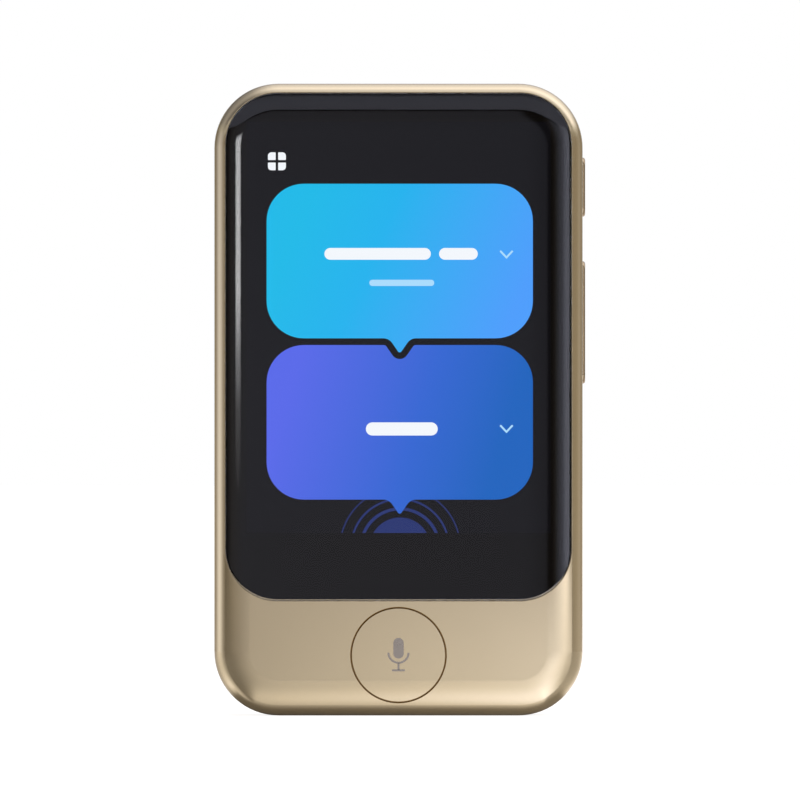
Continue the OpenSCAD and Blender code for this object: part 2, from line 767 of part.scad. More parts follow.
module screw(length) {
  translate([0, 0, -screw_head_h]) cylinder(r = screw_head_r, h = screw_head_h);
  cylinder(r = screw_r, h = length);
}

module screw_holes(places, z0, z1) {
  for (at = places) translate([at.x, at.y, z0]) cylinder(r = screw_r + screw_gap, h = z1 - z0);
}

// Domed disc of thin sheet whose rim lies at z = 0
module dome(r, h) {
  curve_r = (r * r + h * h) / (2 * h);
  rotate_extrude() intersection() {
    translate([0, h - curve_r]) difference() {
      circle(curve_r, $fn = dome_fn);
      circle(curve_r - dome_t, $fn = dome_fn);
    }
    square([r, h]);
  }
}

module key_slot(length) {
  rounded_rect(key_w + 2 * key_gap, length + 2 * key_gap, key_end_r + key_gap);
}

module key_flange(length) {
  rounded_rect(key_w + 2 * (key_gap + key_lip), length + 2 * (key_gap + key_lip), key_end_r + key_gap);
}

// Holes in the bottom edge: speakers, microphone, USB-C
module bottom_openings() {
  for (side = [-1, 1], i = [0 : speaker_holes - 1]) {
    x = side * (speaker_x + (i - (speaker_holes - 1) / 2) * speaker_pitch);
    translate([x, -cut, usb_z]) rotate([-90, 0, 0]) cylinder(r = speaker_hole_r, h = wall + 2 * cut);
  }
  translate([low_mic_x, -cut, usb_z]) rotate([-90, 0, 0]) cylinder(r = mic_hole_r, h = wall + 2 * cut);
  translate([0, 0, usb_z]) upwards(-cut, wall + 2 * cut) pill(usb_w + 2 * usb_gap, usb_h + 2 * usb_gap);
}

// Places one clip on each straight stretch that has room for it
module at_clips() {
  end = clip_end_gap + clip_l / 2;
  for (y = [first_clip_y : clip_pitch : door_y - door_l / 2 - end]) translate([-inner_x, y, 0]) children();
  for (y = [first_clip_y : clip_pitch : bracket_y0 - end])
    translate([inner_x, y, 0]) rotate(180) children();
  for (side = [-1, 1]) translate([side * top_clip_x, inner_top, 0]) rotate(-90) children();
}

// A clip on a wall whose inner face is at x = 0 and whose inside is towards +x
module clip(gap) {
  ridge = (clip_h - lip_h) / 2 + 2 * gap;
  box([lip_gap, -clip_l / 2, seam_z], [lip_gap + lip_t, clip_l / 2, seam_z + clip_h]);
  box([-clip_bite - gap, -clip_l / 2 - gap, seam_z + clip_h - ridge],
      [lip_gap, clip_l / 2 + gap, seam_z + clip_h + gap]);
}

// Opening through which the display flex passes
module flex_window(y0, y1, z0, z1) {
  half = display_flex_w / 2 + panel_gap;
  box([display_flex_x - half, y0, z0], [display_flex_x + half, y1, z1]);
}

module talk_well() {
  well_r = talk_flange_r + talk_gap;
  translate([0, talk_y, plate_top - cut]) cylinder(r = well_r, h = chin_z - plate_top + cut);
  translate([0, talk_y, chin_z - cut]) cylinder(r = talk_bore_r, h = chin_wall + 2 * cut);
}

module front_housing() {
  color(gold) upright() difference() {
    union() {
      difference() {
        housing_form();
        slab(-cut, seam_z) outline(-cut);
        slab(seam_z - cut, plate_top) outline(wall);
      }
      for (at = sub_screws_at)
        translate([at.x, at.y, sub_board_top]) cylinder(r = boss_r, h = plate_top - sub_board_top);
    }
    slab(seam_z - cut, seam_z + seam_groove) difference() {
      outline(-cut);
      outline(seam_groove);
    }
    slab(ledge_z, body_d + cut) glass_outline(-glass_gap);
    box([-panel_w / 2 - panel_gap, panel_y0 - panel_gap, plate_top - cut],
        [panel_w / 2 + panel_gap, panel_y1 + panel_gap, ledge_z + cut]);
    flex_window(flex_turn_y - display_bend_r - panel_gap, panel_y0, plate_top - cut, ledge_z + cut);
    talk_well();
    bottom_openings();
    translate([top_mic_x, inner_top - cut, top_mic_z]) rotate([-90, 0, 0])
      cylinder(r = mic_hole_r, h = wall + 2 * cut);
    translate([0, power_y, key_z]) sideways(inner_x - cut, wall + 2 * cut) key_slot(power_key_l);
    translate([0, volume_y, key_z]) sideways(inner_x - cut, wall + 2 * cut) key_slot(volume_key_l);
    translate([0, door_y, tray_z]) sideways(-body_w / 2 - cut, wall + 2 * cut)
      rotate(90) pill(door_l + 2 * door_gap, door_w + 2 * door_gap);
    screw_holes(plate_screws_at, plate_top - cut, plate_top + screw_bite + screw_end_gap);
    screw_holes(sub_screws_at, sub_board_top - cut, plate_top + screw_bite + screw_end_gap);
    at_clips() clip(clip_gap);
  }
}

module rear_cover() {
  color(gold) upright() difference() {
    union() {
      difference() {
        housing_form();
        slab(seam_z, body_d + cut) outline(-cut);
        slab(rear_wall, seam_z + cut) outline(wall);
      }
      slab(rear_wall, seam_z) difference() {
        outline(wall / 2);
        outline(wall + lip_gap + lip_t);
      }
      slab(rear_wall, seam_z + lip_h) difference() {
        outline(wall + lip_gap);
        outline(wall + lip_gap + lip_t);
      }
      at_clips() clip(0);
      box([strap_x - strap_w / 2 - strap_wall, wall, rear_wall / 2],
          [strap_x + strap_w / 2 + strap_wall, strap_h + strap_wall, seam_z]);
      translate([camera_x, camera_y, rear_wall / 2])
        cylinder(r = camera_ring_r + ring_boss_t, h = camera_z - ring_boss_gap - rear_wall / 2);
    }
    box([strap_x - strap_w / 2, -cut, -cut], [strap_x + strap_w / 2, strap_h, seam_z - strap_wall]);
    translate([strap_x, strap_bar_in, strap_z]) rotate([0, 90, 0])
      cylinder(r = strap_bar_r + press_gap, h = strap_w + 2 * strap_wall, center = true);
    translate([camera_x, camera_y, -cut]) cylinder(r = camera_ring_r + window_gap, h = body_d);
    translate([flash_x, camera_y, -cut]) cylinder(r = flash_r + window_gap, h = body_d);
  }
}

module cover_glass() {
  color(black) upright() intersection() {
    housing_form();
    slab(glass_z, body_d + cut) glass_outline(0);
  }
}

module bezel_film() {
  color(black) upright() slab(film_z, glass_z) difference() {
    glass_outline(film_inset);
    translate([-lit_w / 2, lit_y0]) square([lit_w, lit_y1 - lit_y0]);
  }
}

module glass_adhesive() {
  color(black) upright() slab(ledge_z, film_z) difference() {
    glass_outline(film_inset);
    translate([-panel_w / 2 - panel_gap, panel_y0 - panel_gap])
      square([panel_w + 2 * panel_gap, panel_y1 - panel_y0 + 2 * panel_gap]);
  }
}

module display_panel() {
  color([0.12, 0.2, 0.3]) upright() {
    box([-panel_w / 2, panel_y0, film_z - panel_t], [panel_w / 2, panel_y1, film_z - panel_t / 2]);
    box([-panel_w / 2, panel_y0 + driver_ledge, film_z - panel_t / 2], [panel_w / 2, panel_y1, film_z]);
  }
}

module display_backlight() {
  color([0.9, 0.9, 0.88]) upright()
    box([-panel_w / 2, panel_y0, plate_top], [panel_w / 2, panel_y1, film_z - panel_t]);
}

// Leaves the panel's lower edge, turns through the ledge and lies on the sub board
module display_flex() {
  r = display_bend_r;
  z_top = film_z - panel_t / 2 - flex_t;
  z_low = sub_board_top;
  y_down = flex_turn_y - 2 * r + flex_t;
  y_end = sub_board_y1 - flex_end_l;
  color(amber) upright() translate([display_flex_x + display_flex_w / 2, 0, 0]) rotate([0, -90, 0])
    linear_extrude(display_flex_w) {
      translate([z_top, flex_turn_y]) square([flex_t, display_flex_out]);
      translate([z_top + flex_t - r, flex_turn_y]) flex_bend(r, -90);
      translate([z_low + r, flex_turn_y - r]) square([z_top + flex_t - z_low - 2 * r, flex_t]);
      translate([z_low + r, y_down]) flex_bend(r, 90);
      translate([z_low, y_end]) square([flex_t, y_down - y_end]);
    }
}

// Quarter of a ring of flex in the first quadrant, turned about its centre
module flex_bend(r, angle) {
  rotate(angle) intersection() {
    difference() {
      circle(r);
      circle(r - flex_t);
    }
    square(r + cut);
  }
}

module mid_plate() {
  color(steel) upright() difference() {
    union() {
      slab(plate_z, plate_top) intersection() {
        outline(wall + plate_gap);
        translate([-body_w / 2, plate_y0]) square([body_w, body_h]);
      }
      for (at = main_screws_at)
        translate([at.x, at.y, plate_z - standoff_h]) cylinder(r = boss_r, h = standoff_h);
    }
    screw_holes(plate_screws_at, plate_z - cut, plate_top + cut);
    screw_holes(main_screws_at, main_board_z, plate_top + cut);
    flex_window(plate_y0 - cut, flex_turn_y, plate_z - cut, plate_top + cut);
  }
}

module plate_screws() {
  color(steel) upright() for (at = plate_screws_at)
    translate([at.x, at.y, plate_z]) screw(plate_t + screw_bite);
}

module talk_button() {
  color(gold) upright() {
    intersection() {
      housing_form();
      translate([0, talk_y, talk_flange_z]) cylinder(r = talk_r, h = body_d);
    }
    translate([0, talk_y, talk_flange_z]) cylinder(r = talk_flange_r, h = talk_flange_t);
    translate([0, talk_y, switch_floor_z + talk_travel + nub_gap])
      cylinder(r = plunger_r, h = talk_flange_z - switch_floor_z - talk_travel);
  }
}

module talk_button_ring() {
  color([0.2, 0.2, 0.2]) upright() translate([0, talk_y, sub_board_top]) difference() {
    cylinder(r = talk_flange_r, h = talk_ring_h);
    translate([0, 0, -cut]) cylinder(r = talk_flange_r - talk_ring_w, h = talk_ring_h + 2 * cut);
  }
}

module talk_switch() {
  color([0.15, 0.15, 0.15]) upright() translate([0, talk_y, sub_board_top]) difference() {
    linear_extrude(switch_h) rounded_rect(switch_w, switch_w, switch_r);
    translate([0, 0, switch_floor]) cylinder(r = talk_dome_r + dome_gap, h = switch_h);
  }
}

module talk_dome() {
  color(steel) upright() translate([0, talk_y, switch_floor_z]) dome(talk_dome_r, talk_travel);
}

// Cap and flange of a side key that stands out towards +x at x = 0 on the outer side
module side_key(length, play) {
  thick = key_proud + wall + play;
  translate([inner_x - play, 0, key_z]) rotate([0, 90, 0]) {
    edged_plate(key_w, length, key_end_r, thick) rounded_edge(key_end_r, thick, key_edge_r);
    translate([0, 0, -key_flange_t]) linear_extrude(key_flange_t) key_flange(length);
  }
}

// Round nub that reaches from a key's flange to just above its dome
module key_nub(play) {
  tip = key_dome_x + nub_gap;
  translate([tip, 0, key_z]) rotate([0, 90, 0])
    cylinder(r = nub_r, h = inner_x - play - key_flange_t / 2 - tip);
}

module power_key() {
  color(dark_gold) upright() translate([0, power_y, 0]) {
    side_key(power_key_l, power_play);
    key_nub(power_play);
  }
}

module volume_key() {
  color(dark_gold) upright() translate([0, volume_y, 0]) {
    side_key(volume_key_l, volume_play);
    for (side = [-1, 1]) translate([0, side * volume_dome_y, 0]) key_nub(volume_play);
    translate([volume_axis_x, 0, key_z - key_w / 2])
      cylinder(r = volume_axis_x - key_flex_x - nub_gap, h = key_w);
  }
}

module side_dome(y) {
  translate([key_flex_x, y, key_z]) rotate([0, 90, 0]) dome(key_dome_r, key_travel);
}

module power_key_dome() {
  color(steel) upright() side_dome(power_y);
}

module volume_key_domes() {
  color(steel) upright() for (side = [-1, 1]) side_dome(volume_y + side * volume_dome_y);
}

module side_key_flex() {
  low = volume_y - volume_key_l / 2;
  high = power_y + power_key_l / 2;
  board_top = main_board_z + board_t;
  color(amber) upright() {
    box([key_flex_x - flex_t, low, key_z - key_w / 2], [key_flex_x, high, key_z + key_w / 2]);
    box([key_flex_x - flex_t, key_tail_y - key_tail_w / 2, key_z],
        [key_flex_x, key_tail_y + key_tail_w / 2, board_top + flex_t]);
    box([key_flex_x - key_tail_l, key_tail_y - key_tail_w / 2, board_top],
        [key_flex_x, key_tail_y + key_tail_w / 2, board_top + flex_t]);
  }
}

module side_key_bracket() {
  color(steel) upright() difference() {
    union() {
      box([bracket_x, bracket_y0, plate_z - bracket_h], [bracket_x + bracket_t, bracket_y1, plate_z]);
      box([bracket_x - bracket_foot, bracket_y0, plate_z - bracket_t], [bracket_x, bracket_y1, plate_z]);
    }
    box([bracket_x - bracket_foot - cut, key_tail_y - key_tail_w / 2 - key_tail_gap,
         main_board_z + board_t - key_tail_gap],
        [bracket_x + bracket_t + cut, key_tail_y + key_tail_w / 2 + key_tail_gap, plate_z + cut]);
  }
}

// Board with large outer corners at one end and small ones at the other
module board_outline(y0, y1, big_end) {
  y_mid = (y0 + y1) / 2;
  translate([0, y_mid]) {
    intersection() {
      rounded_rect(board_w, y1 - y0, board_r);
      translate([-board_w / 2, big_end > 0 ? 0 : y0 - y1]) square([board_w, y1 - y0]);
    }
    intersection() {
      rounded_rect(board_w, y1 - y0, board_inner_r);
      translate([-board_w / 2, big_end > 0 ? y0 - y1 : 0]) square([board_w, y1 - y0]);
    }
  }
}

module main_board() {
  color(board_green) upright() difference() {
    slab(main_board_z, main_board_z + board_t) board_outline(main_board_y0, main_board_y1, 1);
    screw_holes(main_screws_at, main_board_z - cut, plate_z);
  }
}

module sub_board() {
  color(board_green) upright() difference() {
    slab(sub_board_z, sub_board_top) board_outline(sub_board_y0, sub_board_y1, -1);
    screw_holes(sub_screws_at, sub_board_z - cut, sub_board_top + cut);
  }
}

module board_screws() {
  color(steel) upright() {
    for (at = main_screws_at)
      translate([at.x, at.y, main_board_z]) screw(board_t + standoff_h + plate_t);
    for (at = sub_screws_at)
      translate([at.x, at.y, sub_board_z]) screw(plate_top + screw_bite - sub_board_z);
  }
}

module shield_can(place) {
  w = place[2];
  h = place[3];
  translate([place[0] + w / 2, place[1] + h / 2, main_board_z - can_h]) difference() {
    linear_extrude(can_h) rounded_rect(w, h, can_r);
    translate([0, 0, can_t]) linear_extrude(can_h)
      rounded_rect(w - 2 * can_t, h - 2 * can_t, can_r - can_t);
  }
}

module processor_shield() {
  color(steel) upright() shield_can(processor_can);
}

module radio_shield() {
  color(steel) upright() shield_can(radio_can);
}

module battery_cell() {
  color([0.3, 0.32, 0.36]) upright() translate([0, 0, battery_z1 - battery_t / 2])
    upwards(battery_y0, battery_y1 - battery_y0) rounded_rect(battery_w, battery_t, battery_r);
}

module battery_adhesive() {
  color([0.9, 0.9, 0.85]) upright() for (side = [-1, 1])
    translate([side * battery_glue_x, 0, 0])
      box([-battery_glue_w / 2, battery_y0 + battery_glue_end, battery_z1],
          [battery_glue_w / 2, battery_y1 - battery_glue_end, plate_z]);
}

module battery_circuit() {
  color(amber) upright()
    box([-circuit_w / 2, battery_y1, circuit_z],
        [circuit_w / 2, battery_y1 + circuit_h, battery_z1]);
}

module battery_lead() {
  half = plug_w / 2;
  color(amber) upright() {
    box([battery_plug_x - half, battery_y1 + circuit_h, plug_z - flex_t],
        [battery_plug_x + half, plug_y + plug_h / 2, plug_z]);
    box([battery_plug_x - half, plug_y - plug_h / 2, plug_z],
        [battery_plug_x + half, plug_y + plug_h / 2, plug_z + plug_t]);
  }
}

module battery_connector() {
  color([0.85, 0.82, 0.75]) upright()
    box([battery_plug_x - plug_w / 2, plug_y - plug_h / 2, plug_z + plug_t],
        [battery_plug_x + plug_w / 2, plug_y + plug_h / 2, main_board_z]);
}

// Runs behind the mid plate beside the battery, from the sub board to the main board
module board_link_flex() {
  z0 = plate_z - flex_t;
  y0 = sub_board_y1 - link_in - flex_end_l;
  y1 = main_board_y0 + link_in + flex_end_l;
  color(amber) upright() {
    box([link_x - link_w / 2, y0, z0], [link_x + link_w / 2, y1, plate_z]);
    box([link_x - link_w / 2, y0, sub_board_top], [link_x + link_w / 2, y0 + flex_end_l, z0]);
    box([link_x - link_w / 2, y1 - flex_end_l, main_board_z + board_t], [link_x + link_w / 2, y1, z0]);
  }
}

module usb_receptacle() {
  color(steel) upright() {
    translate([0, 0, usb_z]) difference() {
      upwards(usb_recess, usb_l) pill(usb_w, usb_h);
      upwards(usb_recess - cut, usb_l - usb_end + cut) pill(usb_w - 2 * usb_t, usb_h - 2 * usb_t);
    }
    for (side = [-1, 1])
      translate([side * usb_w / 2, usb_recess + usb_l - usb_tab_l / 2, sub_board_z - usb_tab_h / 2])
        cube([usb_tab_w, usb_tab_l, usb_tab_h], center = true);
  }
}

module usb_tongue() {
  y1 = usb_recess + usb_l - usb_end;
  color(black) upright() translate([0, y1 - tongue_l / 2, usb_z])
    cube([tongue_w, tongue_l, tongue_t], center = true);
}

module lower_microphone() {
  color([0.8, 0.75, 0.6]) upright()
    box([low_mic_x - mic_w / 2, low_mic_y, sub_board_z - mic_t],
        [low_mic_x + mic_w / 2, low_mic_y + mic_l, sub_board_z]);
}

module upper_microphone() {
  color([0.8, 0.75, 0.6]) upright()
    box([top_mic_x - mic_w / 2, top_mic_y, top_mic_z],
        [top_mic_x + mic_w / 2, main_board_y1, main_board_z]);
}

// Rubber blocks with a sound channel from each hole in the wall to its microphone
module microphone_boots() {
  color([0.12, 0.12, 0.12]) upright() {
    difference() {
      box([low_mic_x - mic_w / 2, wall, sub_board_z - boot_t],
          [low_mic_x + mic_w / 2, low_mic_y, sub_board_z - mic_t / 2]);
      translate([low_mic_x, 0, usb_z]) rotate([-90, 0, 0])
        cylinder(r = mic_hole_r, h = low_mic_y - mic_hole_r);
    }
    difference() {
      box([top_mic_x - mic_w / 2, main_board_y1, top_mic_z - boot_t / 2],
          [top_mic_x + mic_w / 2, inner_top, top_mic_z + boot_t / 2]);
      translate([top_mic_x, main_board_y1 - cut, top_mic_z]) rotate([-90, 0, 0])
        cylinder(r = mic_hole_r, h = body_h);
    }
  }
}

// Speaker box with a flat mouth towards the bottom wall
module speaker_box() {
  translate([0, speaker_y + speaker_h / 2, sub_board_z - speaker_t])
    linear_extrude(speaker_t) rounded_rect(speaker_w, speaker_h, speaker_r);
  box([-mouth_w / 2, wall + mesh_t, usb_z - mouth_h / 2],
      [mouth_w / 2, speaker_y + speaker_r, usb_z + mouth_h / 2]);
}

module speakers() {
  color([0.18, 0.18, 0.2]) upright() for (side = [-1, 1]) translate([side * speaker_x, 0, 0]) speaker_box();
}

module speaker_meshes() {
  color([0.3, 0.3, 0.32]) upright() for (side = [-1, 1]) translate([side * speaker_x, 0, 0])
    box([-mouth_w / 2, wall, usb_z - mouth_h / 2], [mouth_w / 2, wall + mesh_t, usb_z + mouth_h / 2]);
}

module sim_tray() {
  color(dark_gold) upright() difference() {
    union() {
      translate([0, door_y, tray_z]) sideways(-body_w / 2, door_t) rotate(90) pill(door_l, door_w);
      slab(tray_z - tray_t / 2, tray_z + tray_t / 2) translate([card_x - sim_r / 2, tray_y])
        rounded_rect(tray_l + sim_r, tray_w, sim_r);
    }
    translate([-body_w / 2 - cut, eject_y, tray_z]) rotate([0, 90, 0])
      cylinder(r = eject_r, h = door_t + 2 * cut);
    slab(card_z, tray_z + tray_t) translate([card_x, tray_y])
      square([sim_l + 2 * sim_gap, sim_w + 2 * sim_gap], center = true);
    slab(tray_z - tray_t, card_z + cut) translate([card_x, tray_y])
      rounded_rect(sim_l - 2 * sim_rest, sim_w - 2 * sim_rest, sim_r);
  }
}

module sim_card() {
  color([0.93, 0.93, 0.9]) upright() translate([card_x, tray_y, card_z])
    linear_extrude(sim_t) difference() {
      rounded_rect(sim_l, sim_w, sim_r);
      translate([sim_l / 2, sim_w / 2]) rotate(45)
        square(sim_notch * sqrt(2), center = true);
    }
}

// Shell on the main board with one tunnel for the tray and one for the ejecting rod
module sim_socket() {
  tray_y0 = tray_y - tray_w / 2 - 2 * tray_gap;
  tray_y1 = tray_y + tray_w / 2 + 2 * tray_gap;
  rod_y1 = eject_y + eject_r + tray_gap;
  rod_y0 = rod_y1 - 2 * (eject_r + tray_gap);
  z0 = tray_z - tray_t / 2 - tray_gap;
  z1 = tray_z + tray_t / 2 + tray_gap;
  color(steel) upright() difference() {
    box([socket_x0, tray_y0 - socket_t, z0 - socket_t], [socket_x1, rod_y1 + socket_t, main_board_z]);
    box([socket_x0 - cut, tray_y0, z0], [lever_x, tray_y1, z1]);
    box([socket_x0 - cut, rod_y0, z0], [lever_x, rod_y1, z1]);
    box([tray_x1, tray_y0, z0], [socket_x1 - socket_t, rod_y1, z1]);
  }
}

// Rod beside the tray and the lever behind it that pushes the tray out
module sim_ejector() {
  rod_x = tray_x0 + lever_gap;
  color(steel) upright() {
    translate([rod_x, eject_y, tray_z]) rotate([0, 90, 0])
      cylinder(r = eject_r - tray_gap / 2, h = lever_x - rod_x + lever_t / 2);
    box([lever_x, tray_y - tray_w / 2 + sim_r, tray_z - lever_t / 2],
        [lever_x + lever_t, eject_y, tray_z + lever_t / 2]);
  }
}

module camera_module() {
  barrel_z = window_recess + window_t + 2 * window_gap;
  color(black) upright() translate([camera_x, camera_y, 0]) {
    slab(camera_z, main_board_z) rounded_rect(camera_w, camera_w, camera_body_r);
    rotate_extrude() polygon([
      [0, barrel_z + lens_funnel_l], [lens_funnel_r, barrel_z + lens_funnel_l],
      [barrel_r - lens_rim, barrel_z], [barrel_r, barrel_z], [barrel_r, camera_z], [0, camera_z]
    ]);
  }
}

module camera_window() {
  color(black) upright() translate([camera_x, camera_y, window_recess])
    cylinder(r = camera_window_r, h = window_t);
}

module camera_ring() {
  color(dark_gold) upright() translate([camera_x, camera_y, 0]) difference() {
    cylinder(r = camera_ring_r, h = rear_wall);
    translate([0, 0, -cut]) cylinder(r = camera_window_r + window_gap, h = window_recess + window_t + cut);
    translate([0, 0, -cut]) cylinder(r = barrel_r + 2 * window_gap, h = rear_wall + 2 * cut);
  }
}

module flash_pipe() {
  color([0.95, 0.93, 0.85]) upright() translate([flash_x, camera_y, window_gap])
    cylinder(r = flash_r, h = main_board_z - led_h - 2 * window_gap);
}

module flash_led() {
  color([0.95, 0.9, 0.5]) upright() translate([flash_x, camera_y, main_board_z - led_h / 2])
    cube([led_w, led_w, led_h], center = true);
}

module antenna_strip() {
  z1 = plate_z - antenna_low;
  color(amber) upright()
    box([antenna_x0, inner_top - antenna_t, z1 - antenna_w], [antenna_x1, inner_top, z1]);
}

// Spring fingers from the main board's edge to the antenna strip
module antenna_contacts() {
  tip = inner_top - antenna_t - nub_gap;
  foot = main_board_y1 - contact_foot;
  knee = main_board_y1 + contact_out;
  low = main_board_z - contact_drop;
  color([0.85, 0.7, 0.35]) upright() for (x = contacts_at) translate([x - contact_w / 2, 0, 0]) {
    box([0, foot, main_board_z - flex_t], [contact_w, knee, main_board_z]);
    box([0, knee - flex_t, low], [contact_w, knee, main_board_z]);
    box([0, knee - flex_t, low], [contact_w, tip, low + flex_t]);
  }
}

module strap_bar() {
  color(steel) upright() translate([strap_x, strap_bar_in, strap_z]) rotate([0, 90, 0])
    cylinder(r = strap_bar_r, h = strap_w + 2 * strap_wall - 2 * press_gap, center = true);
}

front_housing();
rear_cover();
cover_glass();
bezel_film();
glass_adhesive();
display_panel();
display_backlight();
display_flex();
mid_plate();
plate_screws();
talk_button();
talk_button_ring();
talk_switch();
talk_dome();
power_key();
volume_key();
power_key_dome();
volume_key_domes();
side_key_flex();
side_key_bracket();
main_board();
sub_board();
board_screws();
processor_shield();
radio_shield();
battery_cell();
battery_adhesive();
battery_circuit();
battery_lead();
battery_connector();
board_link_flex();
usb_receptacle();
usb_tongue();
lower_microphone();
upper_microphone();
microphone_boots();
speakers();
speaker_meshes();
sim_tray();
sim_card();
sim_socket();
sim_ejector();
camera_module();
camera_window();
camera_ring();
flash_pipe();
flash_led();
antenna_strip();
antenna_contacts();
strap_bar();
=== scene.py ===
"""Dresses the handheld translator: finishes, cover glass, screen picture, talk sign, lenses and stage."""

import math
from functools import partial

import bmesh
import bpy
from bpy.props import FloatProperty, FloatVectorProperty, IntProperty, PointerProperty
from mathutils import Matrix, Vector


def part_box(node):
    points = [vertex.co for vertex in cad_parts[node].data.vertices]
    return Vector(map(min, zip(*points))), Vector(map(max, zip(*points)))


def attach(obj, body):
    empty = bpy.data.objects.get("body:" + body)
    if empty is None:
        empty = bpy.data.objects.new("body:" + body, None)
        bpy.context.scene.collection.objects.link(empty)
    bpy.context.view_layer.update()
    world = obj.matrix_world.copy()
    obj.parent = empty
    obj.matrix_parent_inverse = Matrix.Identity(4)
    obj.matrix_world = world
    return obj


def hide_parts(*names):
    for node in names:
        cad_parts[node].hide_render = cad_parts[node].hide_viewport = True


bl_info = {
    "name": "Handheld Translator",
    "version": (1, 0, 0),
    "blender": (4, 5, 0),
    "location": "3D View > Sidebar > Translator",
    "description": "Finishes, screen and stage for a packed handheld translator",
    "category": "Object",
}

MM = 0.001
SMOOTH_ANGLE = math.radians(40)

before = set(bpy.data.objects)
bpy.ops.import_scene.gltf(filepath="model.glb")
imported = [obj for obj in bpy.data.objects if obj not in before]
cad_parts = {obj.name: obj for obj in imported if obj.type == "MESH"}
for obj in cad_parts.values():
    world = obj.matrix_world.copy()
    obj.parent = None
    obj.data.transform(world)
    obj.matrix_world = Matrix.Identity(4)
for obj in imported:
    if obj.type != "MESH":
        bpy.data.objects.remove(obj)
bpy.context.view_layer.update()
BODY_LOW, BODY_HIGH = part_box("front_housing")
GLASS_LOW, GLASS_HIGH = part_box("cover_glass")
FILM_LOW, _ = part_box("bezel_film")
BUTTON_LOW, BUTTON_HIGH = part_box("talk_button")
WINDOW_LOW, WINDOW_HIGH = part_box("camera_window")
FRONT_Y = BODY_LOW.y
BUTTON_X = (BUTTON_LOW.x + BUTTON_HIGH.x) / 2
BUTTON_Z = (BUTTON_LOW.z + BUTTON_HIGH.z) / 2


def srgb(red, green, blue):
    """Linear colour of three screen values from 0 to 255."""
    def linear(value):
        part = value / 255
        return part / 12.92 if part <= 0.04045 else ((part + 0.055) / 1.055) ** 2.4
    return (linear(red), linear(green), linear(blue))


def length(name, description, millimetres):
    """A length that is set in millimetres and kept in metres."""
    return FloatProperty(name=name, description=description, default=millimetres * MM,
                         min=0.0, unit="LENGTH", subtype="DISTANCE", precision=5)


def colour(name, description, red, green, blue):
    """A colour that is set in screen values from 0 to 255."""
    return FloatVectorProperty(name=name, description=description, default=srgb(red, green, blue),
                               size=3, min=0.0, max=1.0, subtype="COLOR")


class TranslatorForm(bpy.types.PropertyGroup):
    """Sizes of the glass and of what lies behind it."""
    corner_r: length("Corner radius", "Radius of the housing's corners", 9.3)
    curve_r: length("Front curve", "Large radius with which the front rolls over", 9.5)
    curve_angle: FloatProperty(name="Front curve angle",
                               description="Angle swept by the large front radius",
                               default=math.radians(22), subtype="ANGLE")
    edge_r: length("Front edge", "Small radius between the rolled front and the sides", 2.5)
    glass_r: length("Glass corners", "Corner radius of the cover glass", 7.5)
    glass_edge: length("Glass edge", "Radius that breaks the edge of the cover glass", 0.08)
    bond: length("Bond", "How far the glass reaches into the printed film behind it", 0.05)
    button_r: length("Talk button", "Radius of the talk button", 6.76)
    button_gap: length("Talk button gap", "Gap round the talk button", 0.2)
    corner_steps: IntProperty(name="Corner steps", description="Steps in each corner of the glass",
                              default=40, min=8, max=96)


class TranslatorScreen(bpy.types.PropertyGroup):
    """Sizes of the picture on the screen."""
    card_w: length("Card width", "Width of the two cards", 38.55)
    card_h: length("Card height", "Height of the two cards", 22.38)
    card_r: length("Card corners", "Corner radius of the cards", 5.4)
    card_gap: length("Card gap", "Gap between the cards", 0.97)
    card_top: length("Card margin", "From the top of the lit area to the upper card", 8.95)
    tail_w: length("Tail width", "Half the width of the pointer under a card", 2.35)
    tail_h: length("Tail height", "Height of the pointer under a card", 2.03)
    tail_tip_r: length("Tail tip", "Radius of the pointer's tip", 0.3)
    tail_root_r: length("Tail root", "Radius between the pointer and its card", 1.5)
    stroke: length("Stroke", "Line width of the small arrows", 0.28)
    icon_w: length("Menu icon", "Width of the menu icon", 2.6)
    wave_drop: length("Wave centre", "From the lit area's lower edge down to the centre of the waves", 2.2)
    picture_t: length("Picture layer", "Thickness of one layer of the picture", 0.01)


class TranslatorColours(bpy.types.PropertyGroup):
    """Colours of the finishes and of the picture."""
    case: colour("Case", "Satin metallic paint of the housing", 218, 201, 163)
    # The keys' colour is the case's gold made darker. The darkening is painted shade for the keys' unlit
    # long edges, and the lens ring and SIM tray share it.
    keys: colour("Keys", "Satin metal of the keys and the lens ring", 178, 158, 124)
    ink: colour("Ink", "Black film behind the glass", 1, 1, 3)
    dark: colour("Dark screen", "What the unlit part of the screen gives off", 3, 4, 10)
    # The gap colour is painted shade: the darker tone the paint takes in a ring along the talk button's
    # gap.
    gap: colour("Gap", "Gap round the talk button", 148, 118, 74)
    upper_left: colour("Upper card left", "Upper card at its left side", 9, 187, 234)
    upper_middle: colour("Upper card middle", "Upper card in its middle", 20, 180, 240)
    upper_right: colour("Upper card right", "Upper card at its right side", 74, 158, 255)
    lower_left: colour("Lower card left", "Lower card at its left side", 86, 104, 235)
    lower_middle: colour("Lower card middle", "Lower card in its middle", 46, 101, 212)
    lower_right: colour("Lower card right", "Lower card at its right side", 14, 98, 191)
    words: colour("Word bars", "Bars that stand for words", 246, 250, 255)
    arrows: colour("Arrows", "Small arrows on the cards", 172, 222, 255)
    waves: colour("Waves", "Half disc and waves under the cards", 32, 48, 110)
    sign: colour("Talk sign", "Sign on the talk button", 168, 160, 148)


class TranslatorStage(bpy.types.PropertyGroup):
    """Camera and light."""
    camera_far: length("Camera distance", "From the camera to the front of the device", 1500)
    edge_depth: length("Edge depth", "From the front of the device back to its widest outline", 3.01)
    picture_w: length("Picture width", "Width of the picture at the device's outline", 116)
    middle_x: length("Middle", "Sideways place of the picture's middle", 0.22)
    middle_z: length("Middle height", "Height of the picture's middle", 45.74)
    room_light: FloatProperty(name="Room light", description="Even light from all round",
                              default=0.55, min=0.0)


# Meshes; an outline is a list of (x, z) on the face

